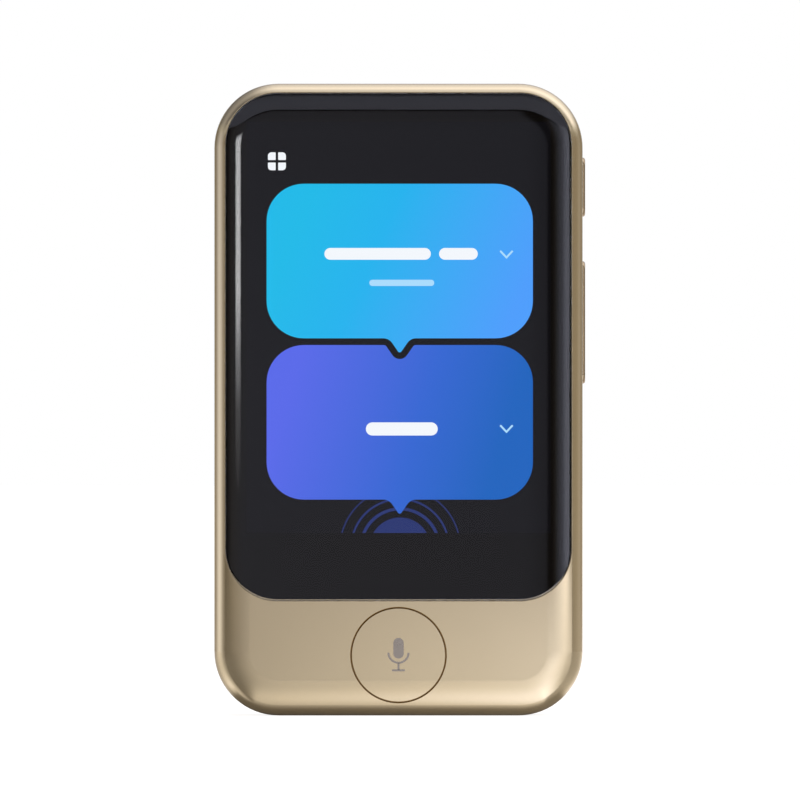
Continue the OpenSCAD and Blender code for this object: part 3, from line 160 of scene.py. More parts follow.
def finish_piece(name, mesh, material, body):
    """Adds a mesh as a piece that rides on a body and takes its finish from a slot."""
    piece = bpy.data.objects.new(name, mesh)
    bpy.context.scene.collection.objects.link(piece)
    mesh.materials.append(material)
    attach(piece, body)
    return piece


def close_mesh(name, bm):
    """Mesh of what has been built, with its faces turned outwards."""
    bmesh.ops.recalc_face_normals(bm, faces=bm.faces)
    mesh = bpy.data.meshes.new(name)
    bm.to_mesh(mesh)
    bm.free()
    return mesh


def plate_mesh(name, outlines, y_front, y_back):
    """Flat plates with the given face outlines, between two depths."""
    bm = bmesh.new()
    for outline in outlines:
        front = [bm.verts.new((x, y_front, z)) for x, z in outline]
        back = [bm.verts.new((x, y_back, z)) for x, z in outline]
        bm.faces.new(front)
        bm.faces.new(list(reversed(back)))
        for i in range(len(front)):
            j = (i + 1) % len(front)
            bm.faces.new((front[j], front[i], back[i], back[j]))
    return close_mesh(name, bm)


def arc_points(centre, radius, start, end, steps=12):
    """Points on an arc, with both ends; angles in degrees, anticlockwise from +x."""
    points = []
    for i in range(steps + 1):
        angle = math.radians(start + (end - start) * i / steps)
        points.append((centre[0] + radius * math.cos(angle), centre[1] + radius * math.sin(angle)))
    return points


CORNERS = ((1, -1, 270), (1, 1, 0), (-1, 1, 90), (-1, -1, 180))  # side in x, side in z, start of the arc


def rounded_outline(centre, width, height, radius, steps=12):
    """Anticlockwise outline of a rounded rectangle, from its lower right corner."""
    x, z = width / 2 - radius, height / 2 - radius
    outline = []
    for sx, sz, start in CORNERS:
        corner = (centre[0] + sx * x, centre[1] + sz * z)
        outline += arc_points(corner, radius, start, start + 90, steps)
    return outline


def ring_part(centre, inner, outer, start, end, steps=48):
    """Outline of a part of a flat ring."""
    return arc_points(centre, outer, start, end, steps) + arc_points(centre, inner, end, start, steps)


def join_rings(bm, rings):
    """Makes faces between each ring of points and the next; a ring can be a single point."""
    steps = max(len(ring) for ring in rings)
    for low, high in zip(rings, rings[1:]):
        for i in range(steps):
            j = (i + 1) % steps
            corners = [low[i % len(low)], low[j % len(low)], high[j % len(high)], high[i % len(high)]]
            bm.faces.new(list(dict.fromkeys(corners)))


def lathe_mesh(name, centre, profile, steps=64):
    """Solid turned about an axis along y through centre; profile is a list of (radius, y)."""
    bm = bmesh.new()
    rings = []
    for radius, y in profile:
        circle = arc_points(centre, radius, 0, 360, steps)[:-1] if radius else [centre]
        rings.append([bm.verts.new((x, y, z)) for x, z in circle])
    join_rings(bm, rings)
    return close_mesh(name, bm)


def smooth(mesh):
    """Smooth shading, but for edges that turn by more than SMOOTH_ANGLE."""
    mesh.shade_smooth()
    mesh.set_sharp_from_angle(angle=SMOOTH_ANGLE)


# Materials

NOISE_LOW, NOISE_HIGH = 0.3, 0.7  # most values of a noise lie between these
CLOUD_SIZE = 40  # the clouds in a finish are so many times as large as its grain
BUMP_DEPTH = 0.02 * MM
BEVEL_SAMPLES = 6
# The painted shade along the talk button's gap fades out between these distances from the gap's edge.
GAP_SHADE_FADE = (0.02 * MM, 0.05 * MM)  # from the edge of the talk button's gap, where its tone ends
GLASS_IOR = 1.5


def new_material(name, kind="ShaderNodeBsdfPrincipled"):
    """A node material that has one shader, and that shader."""
    material = bpy.data.materials.new(name)
    material.use_nodes = True
    material.node_tree.nodes.clear()
    output = add_node(material, "ShaderNodeOutputMaterial")
    shader = add_node(material, kind)
    material.node_tree.links.new(shader.outputs[0], output.inputs["Surface"])
    return material, shader


def add_node(owner, kind, **inputs):
    """A node of one kind in a material or a world, with values for its inputs."""
    node = owner.node_tree.nodes.new(kind)
    for key, value in inputs.items():
        node.inputs[key.replace("_", " ")].default_value = value
    return node


def node_of(material, kind):
    """The node of one kind that a material has."""
    return next(node for node in material.node_tree.nodes if node.type == kind)


def maths(material, operation, *values):
    """Result of a sum on sockets or numbers."""
    node = add_node(material, "ShaderNodeMath")
    node.operation = operation
    for number, value in enumerate(values):
        if isinstance(value, bpy.types.NodeSocket):
            material.node_tree.links.new(value, node.inputs[number])
        else:
            node.inputs[number].default_value = value
    return node.outputs[0]


def map_range(material, value, low, high, to_low=0.0, to_high=1.0):
    """Runs from to_low to to_high while the value runs from low to high, and no further."""
    node = add_node(material, "ShaderNodeMapRange",
                    From_Min=low, From_Max=high, To_Min=to_low, To_Max=to_high)
    material.node_tree.links.new(value, node.inputs["Value"])
    return node.outputs["Result"]


def place_axes(material, space="Object"):
    """x, y and z of a point in metres, or with Generated as shares of its object's box."""
    place = add_node(material, "ShaderNodeTexCoord")
    split = add_node(material, "ShaderNodeSeparateXYZ")
    material.node_tree.links.new(place.outputs[space], split.inputs["Vector"])
    return split.outputs["X"], split.outputs["Y"], split.outputs["Z"]


def ramp(material, value, low, high, stops):
    """Colour ramp over a value from low to high; stops are (value, brightness or colour)."""
    node = add_node(material, "ShaderNodeValToRGB")
    material.node_tree.links.new(map_range(material, value, low, high), node.inputs["Fac"])
    elements = node.color_ramp.elements
    for number, (at, tone) in enumerate(stops):
        share = (at - low) / (high - low)
        element = elements[number] if number < 2 else elements.new(share)
        element.position = share
        element.color = (*tone, 1) if hasattr(tone, "__len__") else (tone, tone, tone, 1)
    return node.outputs["Color"]


def noise(material, cells, stretch=(1, 1, 1), detail=2.0):
    """Noise with so many cells to a metre, stretched along the axes."""
    link = material.node_tree.links.new
    place = add_node(material, "ShaderNodeTexCoord")
    scale = add_node(material, "ShaderNodeMapping", Scale=stretch)
    pattern = add_node(material, "ShaderNodeTexNoise", Scale=cells, Detail=detail)
    link(place.outputs["Object"], scale.inputs["Vector"])
    link(scale.outputs["Vector"], pattern.inputs["Vector"])
    return pattern.outputs["Fac"]


def spread(material, value, low, high):
    """Takes most values of a noise to the range from low to high."""
    return map_range(material, value, NOISE_LOW, NOISE_HIGH, low, high)


def mix_colours(material, factor, first, second):
    """From the first colour to the second, as the factor goes from 0 to 1."""
    node = add_node(material, "ShaderNodeMix")
    node.data_type = "RGBA"
    node.inputs["A"].default_value = (*first, 1)
    node.inputs["B"].default_value = (*second, 1)
    material.node_tree.links.new(factor, node.inputs["Factor"])
    return node.outputs["Result"]


def shaded(tone, factor):
    """A colour made darker or lighter."""
    return tuple(min(1.0, part * factor) for part in tone)


def textured(name, tone, roughness, metallic=0.0, cells=1500, stretch=(1, 1, 1),
             shade=0.06, wear=0.04, relief=0.05, edge=0.0, gloss=0.5):
    """Finish whose colour, roughness and relief vary with noise; edge rounds what light shows of edges."""
    material, shader = new_material(name)
    link = material.node_tree.links.new
    grain = noise(material, cells, stretch)
    cloud = noise(material, cells / CLOUD_SIZE, detail=3.0)
    dark, pale = shaded(tone, 1 - shade), shaded(tone, 1 + shade)
    tones = mix_colours(material, spread(material, grain, 0, 1), dark, pale)
    link(tones, shader.inputs["Base Color"])
    link(spread(material, cloud, roughness - wear, roughness + wear), shader.inputs["Roughness"])
    shader.inputs["Metallic"].default_value = metallic
    shader.inputs["Specular IOR Level"].default_value = gloss
    bump = add_node(material, "ShaderNodeBump", Strength=relief, Distance=BUMP_DEPTH)
    link(grain, bump.inputs["Height"])
    if edge:
        bevel = add_node(material, "ShaderNodeBevel", Radius=edge)
        bevel.samples = BEVEL_SAMPLES
        link(bevel.outputs["Normal"], bump.inputs["Normal"])
    link(bump.outputs["Normal"], shader.inputs["Normal"])
    return material


def paint(material, *nodes):
    """Gives a finish to CAD pieces."""
    for node in nodes:
        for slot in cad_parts[node].material_slots:
            slot.material = material


def satin_paint(name, colours):
    """Champagne metallic paint with a fine grain."""
    return textured(name, colours.case[:], 0.24, metallic=1.0, cells=3000,
                    shade=0.012, wear=0.015, relief=0.012, edge=0.09 * MM)


def paint_gap_shade(material, form, tone):
    """Paints shade into the paint in a narrow ring along the gap round the talk button, so the gap reads
    darker.
    """
    link = material.node_tree.links.new
    shader = node_of(material, "BSDF_PRINCIPLED")
    x, _, z = place_axes(material)
    do = partial(maths, material)
    side = do("SUBTRACT", x, BUTTON_X)
    rise = do("SUBTRACT", z, BUTTON_Z)
    squares = [do("POWER", part, 2.0) for part in (side, rise)]
    far = do("SQRT", do("ADD", *squares))
    half_gap = form.button_gap / 2
    away = do("ABSOLUTE", do("SUBTRACT", far, form.button_r + half_gap))
    gap_shade_mask = map_range(material, away, half_gap + GAP_SHADE_FADE[0], half_gap + GAP_SHADE_FADE[1])
    paint_colour = shader.inputs["Base Color"].links[0].from_socket
    mixed = mix_colours(material, gap_shade_mask, tone, tone)
    link(paint_colour, mixed.node.inputs["B"])
    link(mixed, shader.inputs["Base Color"])


def clear_material(name, tone, through, cells, smooth_part, rough_part):
    """Glass or clear plastic whose roughness varies with noise between two values."""
    material, shader = new_material(name)
    shader.inputs["Base Color"].default_value = (*tone, 1)
    shader.inputs["Transmission Weight"].default_value = through
    shader.inputs["IOR"].default_value = GLASS_IOR
    smears = spread(material, noise(material, cells), smooth_part, rough_part)
    material.node_tree.links.new(smears, shader.inputs["Roughness"])
    return material


def lit_material(name, stops, slant=0.0):
    """Glowing picture layer; stops are (place, colour) to the right, further on at its foot by slant."""
    material, shader = new_material(name)
    shader.inputs["Base Color"].default_value = (0, 0, 0, 1)
    shader.inputs["Specular IOR Level"].default_value = 0.0
    shader.inputs["Emission Strength"].default_value = 1.0
    across, _, rise = place_axes(material, "Generated")
    lead = maths(material, "MULTIPLY", maths(material, "SUBTRACT", 0.5, rise), slant)
    tones = ramp(material, maths(material, "ADD", across, lead), 0, 1, stops)
    material.node_tree.links.new(tones, shader.inputs["Emission Color"])
    return material


def flat_light(name, tone):
    """Glowing picture layer of one colour."""
    return lit_material(name, ((0, tone), (1, tone)))


# Cover glass

GLASS_EDGE_STEPS = 6
GLASS_ROLL_STEPS = 22


def roll_width(form):
    """Width of the rolled edge on the face."""
    turned = math.sin(form.curve_angle)
    return form.curve_r * turned + form.edge_r * (1 - turned)


def form_drop(form, x, z):
    """How far the rolled front lies behind its flat middle at a face point."""
    half_w = (BODY_HIGH.x - BODY_LOW.x) / 2
    half_h = BODY_HIGH.z / 2
    across = abs(x) - (half_w - form.corner_r)
    along = abs(z - half_h) - (half_h - form.corner_r)
    outward = math.hypot(max(across, 0), max(along, 0)) + min(max(across, along), 0)
    from_side = form.corner_r - outward
    into_roll = roll_width(form) - from_side
    if into_roll <= 0:
        return 0.0
    if into_roll <= form.curve_r * math.sin(form.curve_angle):
        return form.curve_r - math.sqrt(form.curve_r ** 2 - into_roll ** 2)
    roll_h = form.curve_r * (1 - math.cos(form.curve_angle)) + form.edge_r * math.cos(form.curve_angle)
    rise = math.sqrt(max(form.edge_r ** 2 - (form.edge_r - from_side) ** 2, 0))
    return roll_h - rise


def glass_rings(form):
    """Rings from the back to the middle: (inset, depth behind the front, height above the back)."""
    edge = form.glass_edge
    rings = [(edge, None, 0), (0, None, edge)]
    for i in range(GLASS_EDGE_STEPS + 1):
        angle = math.pi / 2 * i / GLASS_EDGE_STEPS
        rings.append((edge * (1 - math.cos(angle)), edge * (1 - math.sin(angle)), None))
    for i in range(1, GLASS_ROLL_STEPS + 1):
        rings.append((edge + (roll_width(form) - edge) * i / GLASS_ROLL_STEPS, 0, None))
    return rings


def glass_mesh(form):
    """Cover glass: rings of points that follow its outline inwards over the rolled front."""
    width = GLASS_HIGH.x - GLASS_LOW.x
    height = GLASS_HIGH.z - GLASS_LOW.z
    centre = ((GLASS_HIGH.x + GLASS_LOW.x) / 2, (GLASS_HIGH.z + GLASS_LOW.z) / 2)
    back_y = GLASS_HIGH.y + form.bond
    bm = bmesh.new()
    loops = []
    for inset, below, above_back in glass_rings(form):
        outline = rounded_outline(centre, width - 2 * inset, height - 2 * inset,
                                  form.glass_r - inset, form.corner_steps)
        loop = []
        for x, z in outline:
            if below is None:
                y = back_y - above_back
            else:
                y = FRONT_Y + form_drop(form, x, z) + below
            loop.append(bm.verts.new((x, y, z)))
        loops.append(loop)
    join_rings(bm, loops)
    bm.faces.new(loops[-1])
    bm.faces.new(list(reversed(loops[0])))
    mesh = close_mesh("glass", bm)
    smooth(mesh)
    return mesh


class TRANSLATOR_OT_case(bpy.types.Operator):
    """Gives the housing, the rear cover and the talk button their satin metallic paint"""
    bl_idname = "translator.case"
    bl_label = "Paint the Case"

    def execute(self, context):
        colours = context.scene.translator_colours
        front = satin_paint("case_satin_gold", colours)
        # Paints shade into the case's paint along the talk button's gap.
        paint_gap_shade(front, context.scene.translator_form, colours.gap[:])
        paint(front, "front_housing", "talk_button")
        paint(satin_paint("rear_satin_gold", colours), "rear_cover")
        return {"FINISHED"}


class TRANSLATOR_OT_keys(bpy.types.Operator):
    """Gives the side keys, the SIM tray and the lens ring their satin metal"""
    bl_idname = "translator.keys"
    bl_label = "Finish the Keys"

    def execute(self, context):
        colours = context.scene.translator_colours
        # This metal is darker than the case. The difference is painted shade on the keys' long edges.
        metal = textured("key_satin_metal", colours.keys[:], 0.24, metallic=1.0, cells=6000,
                         stretch=(1, 1, 0.15), shade=0.04, wear=0.03, relief=0.04, edge=0.08 * MM)
        paint(metal, "power_key", "volume_key", "sim_tray", "camera_ring")
        return {"FINISHED"}


# Finishes of the pieces inside: name, screen colour, roughness, how it varies, and the pieces that have it
INSIDE_FINISHES = (
    ("black_moulding", (30, 30, 33), 0.5, dict(cells=4000, shade=0.15, relief=0.15),
     ("talk_switch", "usb_tongue", "speakers", "camera_module")),
    ("white_moulding", (226, 224, 216), 0.45, dict(cells=2500, shade=0.03),
     ("display_backlight", "sim_card", "battery_connector", "battery_adhesive", "flash_led")),
    ("black_rubber", (38, 38, 40), 0.75, dict(cells=5000, shade=0.2, relief=0.2),
     ("talk_button_ring", "microphone_boots")),
    ("amber_flex", (196, 132, 40), 0.35, dict(cells=900, stretch=(4, 1, 0.3), shade=0.25),
     ("display_flex", "side_key_flex", "battery_lead", "board_link_flex", "antenna_strip",
      "battery_circuit")),
    ("green_board", (22, 92, 62), 0.35, dict(cells=1200, shade=0.3, relief=0.1),
     ("main_board", "sub_board")),
    ("cell_foil", (92, 96, 104), 0.4, dict(metallic=0.6, cells=700, shade=0.1, relief=0.3),
     ("battery_cell",)),
    ("brushed_steel", (198, 199, 203), 0.3,
     dict(metallic=1.0, cells=2500, stretch=(1, 1, 0.05), shade=0.08, edge=0.05 * MM),
     ("mid_plate", "plate_screws", "talk_dome", "power_key_dome", "volume_key_domes",
      "side_key_bracket", "board_screws", "processor_shield", "radio_shield", "usb_receptacle",
      "sim_socket", "sim_ejector", "strap_bar", "lower_microphone", "upper_microphone")),
    ("contact_brass", (214, 178, 92), 0.25, dict(metallic=1.0, cells=3000, shade=0.05),
     ("antenna_contacts",)),
    ("speaker_gauze", (58, 58, 60), 0.55, dict(metallic=0.7, cells=9000, shade=0.5, relief=0.6),
     ("speaker_meshes",)),
)


class TRANSLATOR_OT_inside(bpy.types.Operator):
    """Gives the pieces inside the housing their finishes"""
    bl_idname = "translator.inside"
    bl_label = "Finish the Inside"

    def execute(self, context):
        tone = context.scene.translator_colours.ink[:]
        ink = textured("black_ink", tone, 0.5, cells=300, shade=0.06, relief=0.0, gloss=0.0)
        paint(ink, "bezel_film", "glass_adhesive", "display_panel")
        for name, screen_colour, roughness, varied, nodes in INSIDE_FINISHES:
            paint(textured(name, srgb(*screen_colour), roughness, **varied), *nodes)
        return {"FINISHED"}


class TRANSLATOR_OT_glass(bpy.types.Operator):
    """Makes the curved cover glass, which stands for the CAD cover glass"""
    bl_idname = "translator.glass"
    bl_label = "Make the Cover Glass"

    def execute(self, context):
        mesh = glass_mesh(context.scene.translator_form)
        clear = clear_material("cover_glass_clear", (1, 1, 1), 1.0, 60, 0.001, 0.004)
        glass = finish_piece("curved_cover_glass", mesh, clear, "housing")
        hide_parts("cover_glass")
        return {"FINISHED"}


# Picture on the screen; the tables give a card (0 is the upper one), and places and sizes in millimetres

PICTURE_MIDDLE = 0.18 * MM
PICTURE_BACK = 0.03 * MM  # from the printed film's front back to the picture's ground
LAYER_FILL = 0.8  # share of a layer's thickness that its piece takes up
LIT_HALF_W = 22 * MM
POINTER_HALVINGS = 40
ROUND_END = 2.01  # the ends of a bar are almost half circles, so that no two of its points meet
ARROW_HALF_W, ARROW_HALF_H = 0.8 * MM, 0.48 * MM
# Which colours a card has, where they stand from left to right, and how far that moves over its height
CARD_BLENDS = (("upper", (0.05, 0.38, 1.0), 0.28), ("lower", (0.04, 0.56, 0.9), 0.2))
WORD_BARS = ((0, -3.2, 10.15, 15.4, 1.7), (0, 8.5, 10.15, 5.6, 1.7), (1, 0.3, 12.15, 10.4, 1.9))
SMALL_BARS = ((0, 0.3, 14.35, 9.4, 0.9),)
ARROWS = ((0, 15.45, 10.1), (1, 15.45, 12.0))
ICON_MIDDLE = (-17.6 * MM, 80.3 * MM)
ICON_GAP = 0.36 * MM
ICON_OUTER_R, ICON_INNER_R = 0.5 * MM, 0.1 * MM
WAVES_ASIDE = 0.05 * MM
WAVES = ((0, 4.44, 1.0), (5.46, 5.9, 1.05), (6.95, 7.23, 1.0), (8.59, 8.8, 0.8))  # radii and brightness


def pointer_points(screen, centre_x, edge_z, grow):
    """Pointer that hangs from a level edge, from left to right; grow moves it outwards."""
    tip_r = screen.tail_tip_r + grow
    root_r = screen.tail_root_r - grow
    depth = screen.tail_h
    low, high = 0.0, math.pi / 2
    for _ in range(POINTER_HALVINGS):
        slope = (low + high) / 2
        fall = depth - (tip_r + root_r) * (1 - math.cos(slope))
        run = screen.tail_w - (tip_r + root_r) * math.sin(slope)
        if fall > math.tan(slope) * run:
            low = slope
        else:
            high = slope
    degrees = math.degrees(slope)
    left = arc_points((centre_x - screen.tail_w, edge_z - root_r), root_r, 90, 90 - degrees, 6)
    tip = arc_points((centre_x, edge_z - depth + tip_r), tip_r, 270 - degrees, 270 + degrees, 8)
    right = arc_points((centre_x + screen.tail_w, edge_z - root_r), root_r, 90 + degrees, 90, 6)
    return left + tip + right


def card_outline(screen, centre_x, top, notched):
    """Outline of a card with a pointer below it and, if notched, room for the pointer above it."""
    bottom = top - screen.card_h
    x = screen.card_w / 2 - screen.card_r
    r = screen.card_r
    outline = arc_points((centre_x - x, bottom + r), r, 180, 270)
    outline += pointer_points(screen, centre_x, bottom, 0)
    outline += arc_points((centre_x + x, bottom + r), r, 270, 360)
    outline += arc_points((centre_x + x, top - r), r, 0, 90)
    if notched:
        outline += list(reversed(pointer_points(screen, centre_x, top, screen.card_gap)))
    outline += arc_points((centre_x - x, top - r), r, 90, 180)
    return outline


def word_bars(tops, table):
    """Outlines of bars with round ends that stand for words."""
    outlines = []
    for card, x, drop, width, height in table:
        centre = (PICTURE_MIDDLE + x * MM, tops[card] - drop * MM)
        outlines.append(rounded_outline(centre, width * MM, height * MM, height * MM / ROUND_END, 8))
    return outlines


def arrow_outline(screen, x, z):
    """Small arrow that points down, drawn as one bent line."""
    half_w, half_h, t = ARROW_HALF_W, ARROW_HALF_H, screen.stroke / math.sqrt(2)
    return [(x - half_w, z + half_h), (x, z - half_h + t / 2), (x + half_w, z + half_h),
            (x + half_w + t, z + half_h - t), (x, z - half_h - t * 1.5), (x - half_w - t, z + half_h - t)]


def menu_icon(screen, x, z):
    """Four squares, each with one rounder corner on the outside."""
    side = (screen.icon_w - ICON_GAP) / 2
    step = (side + ICON_GAP) / 2
    outlines = []
    for sx in (-1, 1):
        for sz in (-1, 1):
            outline = []
            for cx, cz, start in CORNERS:
                r = ICON_OUTER_R if (cx, cz) == (sx, sz) else ICON_INNER_R
                corner = (x + sx * step + cx * (side / 2 - r), z + sz * step + cz * (side / 2 - r))
                outline += arc_points(corner, r, start, start + 90, 6)
            outlines.append(outline)
    return outlines


def wave_outline(centre, drop, inner, outer):
    """Part of a disc or of a ring that stands above a level so far over its centre."""
    start = math.degrees(math.asin(drop / outer))
    if inner == 0:
        return arc_points(centre, outer, start, 180 - start, 32)
    inner_start = math.degrees(math.asin(drop / inner))
    outline = arc_points(centre, outer, start, 180 - start, 40)
    return outline + arc_points(centre, inner, 180 - inner_start, inner_start, 40)


def lit_area():
    """Top and bottom of the opening in the printed film."""
    levels = sorted({round(v.co.z, 6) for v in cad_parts["bezel_film"].data.vertices
                     if abs(abs(v.co.x) - LIT_HALF_W) < 0.01 * MM})
    return levels[-1], levels[0]


def picture_layer(screen, name, outlines, level, material):
    """Adds flat shapes to the picture, so many layers before its ground."""
    y = FILM_LOW.y + PICTURE_BACK - level * screen.picture_t
    mesh = plate_mesh(name, outlines, y - screen.picture_t * LAYER_FILL, y)
    return finish_piece(name, mesh, material, "housing")


class TRANSLATOR_OT_picture(bpy.types.Operator):
    """Makes the lit picture: two cards with word bars and arrows, a menu icon and waves"""
    bl_idname = "translator.picture"
    bl_label = "Make the Screen Picture"

    def execute(self, context):
        screen = context.scene.translator_screen
        colours = context.scene.translator_colours
        high, low = lit_area()
        top = high - screen.card_top
        tops = (top, top - screen.card_h - screen.card_gap)
        ground = [(-LIT_HALF_W, low), (LIT_HALF_W, low), (LIT_HALF_W, high), (-LIT_HALF_W, high)]
        picture_layer(screen, "picture_ground", [ground], 0, flat_light("picture_dark", colours.dark[:]))
        self.cards(screen, colours, tops)
        self.signs(screen, colours, tops)
        self.waves(screen, colours, low)
        return {"FINISHED"}

    @staticmethod
    def cards(screen, colours, tops):
        """Two cards that each change colour from left to right."""
        for number, (which, places, slant) in enumerate(CARD_BLENDS):
            tones = [getattr(colours, f"{which}_{part}")[:] for part in ("left", "middle", "right")]
            blend = lit_material(f"picture_{which}_card", list(zip(places, tones)), slant)
            outline = card_outline(screen, PICTURE_MIDDLE, tops[number], number > 0)
            picture_layer(screen, f"{which}_card", [outline], 1, blend)

    @staticmethod
    def signs(screen, colours, tops):
        """Word bars, arrows and the menu icon."""
        words = flat_light("picture_words", colours.words[:])
        faint = flat_light("picture_faint_words", colours.arrows[:])
        arrows = [arrow_outline(screen, PICTURE_MIDDLE + x * MM, tops[card] - drop * MM)
                  for card, x, drop in ARROWS]
        picture_layer(screen, "word_bars", word_bars(tops, WORD_BARS), 2, words)
        picture_layer(screen, "small_word_bar", word_bars(tops, SMALL_BARS), 2, faint)
        picture_layer(screen, "card_arrows", arrows, 3, faint)
        picture_layer(screen, "menu_icon", menu_icon(screen, *ICON_MIDDLE), 1, words)

    @staticmethod
    def waves(screen, colours, lit_bottom):
        """Half disc and waves that rise from the lower edge of the lit area."""
        centre = (PICTURE_MIDDLE + WAVES_ASIDE, lit_bottom - screen.wave_drop)
        for number, (inner, outer, share) in enumerate(WAVES):
            glow = flat_light(f"picture_wave_{number}", shaded(colours.waves[:], share))
            outline = wave_outline(centre, screen.wave_drop, inner * MM, outer * MM)
            picture_layer(screen, f"wave_{number}", [outline], 0.5, glow)


# Talk sign in millimetres: rise, width, height, corner radius and corner steps of its bars
SIGN_CAPSULE = (1.0, 1.5, 3.0, 0.749, 12)
SIGN_STEM = (-1.65, 0.3, 0.9, 0.05, 3)
SIGN_FOOT = (-2.2, 1.9, 0.3, 0.149, 6)
SIGN_CUP = (0.35, 1.3, 1.6)  # rise, inner and outer radius
SIGN_PROUD, SIGN_SUNK = 0.02 * MM, 0.05 * MM


class TRANSLATOR_OT_sign(bpy.types.Operator):
    """Makes the small microphone sign on the talk button"""
    bl_idname = "translator.sign"
    bl_label = "Make the Talk Sign"

    def execute(self, context):
        colours = context.scene.translator_colours
        capsule, stem, foot = [self.bar(*sizes) for sizes in (SIGN_CAPSULE, SIGN_STEM, SIGN_FOOT)]
        rise, inner, outer = SIGN_CUP
        cup = ring_part((BUTTON_X, BUTTON_Z + rise * MM), inner * MM, outer * MM, 180, 360)
        outlines = [capsule, cup, stem, foot]
        mesh = plate_mesh("talk_sign", outlines, FRONT_Y - SIGN_PROUD, FRONT_Y + SIGN_SUNK)
        silver = textured("sign_silver", colours.sign[:], 0.28, metallic=1.0, cells=7000, shade=0.05)
        finish_piece("talk_sign", mesh, silver, "talk_button")
        return {"FINISHED"}

    @staticmethod
    def bar(rise, width, height, radius, steps):
        """Outline of one bar of the sign, so far above the middle of the button."""
        centre = (BUTTON_X, BUTTON_Z + rise * MM)
        return rounded_outline(centre, width * MM, height * MM, radius * MM, steps)


LENS_DEPTH = 0.9 * MM  # from the inside of the camera's window to the rim of the front lens
LENS_PROFILE = ((0, 0.42), (0.45, 0.36), (0.85, 0.2), (1.15, 0), (1.15, -0.2), (0, -0.2))


class TRANSLATOR_OT_lenses(bpy.types.Operator):
    """Makes the camera's front lens and gives the rear windows their glass"""
    bl_idname = "translator.lenses"
    bl_label = "Make the Lenses"

    def execute(self, context):
        window = clear_material("camera_window_glass", (0.75, 0.78, 0.82), 1.0, 400, 0.005, 0.02)
        paint(window, "camera_window")
        milky = clear_material("flash_lens", (0.95, 0.93, 0.86), 0.2, 900, 0.18, 0.24)
        paint(milky, "flash_pipe")
        centre = ((WINDOW_LOW.x + WINDOW_HIGH.x) / 2, (WINDOW_LOW.z + WINDOW_HIGH.z) / 2)
        rim = WINDOW_LOW.y - LENS_DEPTH
        profile = [(radius * MM, rim + rise * MM) for radius, rise in LENS_PROFILE]
        mesh = lathe_mesh("front_lens", centre, profile)
        smooth(mesh)
        coated = textured("coated_lens", srgb(26, 20, 52), 0.06, cells=800, shade=0.3, wear=0.02, relief=0)
        finish_piece("front_lens", mesh, coated, "housing")
        return {"FINISHED"}


# Stage. Tables run over degrees round the device (0 is straight before it, 90 on its right) or over
# metres, and those of the floor over degrees or millimetres. Brightness 1 is white.

WARM = (1.16, 1.0, 0.79)  # tint of dim light
COOL = (0.99, 1.0, 1.19)  # tint of bright light
WARM_LEVEL = 0.25
COOL_LEVEL_STEP = 0.45  # so much above the warm level the light is cool

TENT_RADIUS = 0.3
TENT_HEIGHTS = (0.001, 0.0105, 0.165)  # foot of the low tent, foot of the upper one, top
TENT_STEPS = 150
TENT_BRIGHTEST = 4.0
TENT_FULL = 0.95  # share at which a tent shows its table's brightness
TENT_RISE_TOP = 0.17
TENT_RISE = ((0, 1.0), (0.045, 0.95), (0.08, 0.85), (0.165, 0.75))  # share by height
TENT_COOL_RANGE = (-18, 6)  # between these the light is cool by at least the next share
TENT_COOL_LEAST = 0.8
LEFT_FADE_TURN = (-57, -70)  # past these the left side loses light with height
LEFT_FADE_RISE = (0.03, 0.11)
LEFT_FADE_MOST = 0.28
TENT_LIGHT = ((-150, 0.4), (-125, 0.3), (-105, 0.75), (-88, 1.15), (-70, 0.8), (-57, 0.25), (-46, 0.08),
              (-35, 0.45), (-17, 0.5), (-6, 0.48), (4.8, 0.42), (6, 0.1), (12.9, 0.1), (17.4, 0.22),
              (30, 1.0), (37.4, 2.2), (42, 2.3), (45, 0.3), (47, 0.12), (60, 0.33), (80, 0.33), (105, 0.5),
              (125, 0.3), (150, 0.4))
LOW_TENT_LIGHT = ((-150, 0.4), (-125, 0.3), (-105, 0.85), (-88, 1.4), (-70, 0.7), (-57, 0.0), (-35, 0.0),
                  (-22, 0.08), (-12, 0.2), (-7, 0.32), (-4.5, 0.45), (-3, 0.57), (0, 0.76), (2.4, 1.15),
                  (3.5, 1.35), (5.5, 1.5), (9, 1.5), (14, 1.25), (20, 1.22), (30, 1.18), (36, 0.85),
                  (40, 0.2), (43, 0.1), (50, 0.1), (80, 0.45), (105, 0.5), (125, 0.3), (150, 0.4))

CEILING_HEIGHT = 0.35
CEILING_HALF_W = 0.7
CEILING_BRIGHTEST = 3.35
CEILING_AHEAD = (-0.2, -0.3)  # past these y the ceiling is even across, at the next share
CEILING_AHEAD_SHARE = 0.95
CEILING_LIGHT = ((-1.02, 0.05), (-0.9, 0.05), (-0.82, 0.85), (-0.33, 0.85), (-0.2, 0.1), (-0.12, 1.0),
                 (0, 1.88), (0.1, 1.4), (0.3, 1.0), (0.7, 0.2))  # brightness by y
CEILING_ACROSS = ((-0.7, 0.26), (-0.25, 0.22), (-0.15, 0.28), (-0.06, 0.7), (-0.02, 0.81), (0.05, 0.88),
                  (0.2, 1.0), (0.7, 1.0))  # share by x

STRIP_AZIMUTH = -24.7
STRIP_ANGLE = 10.8
STRIP_DISTANCE = 0.29
STRIP_BRIGHTEST = 10.0
STRIP_LIGHT = ((0.03, 0.0), (0.046, 1.1), (0.056, 4.0), (0.067, 10.0), (0.11, 10.0), (0.125, 0.0))
STRIP_SIDES = ((0, 0.0), (0.25, 1.0), (0.75, 1.0), (1, 0.0))

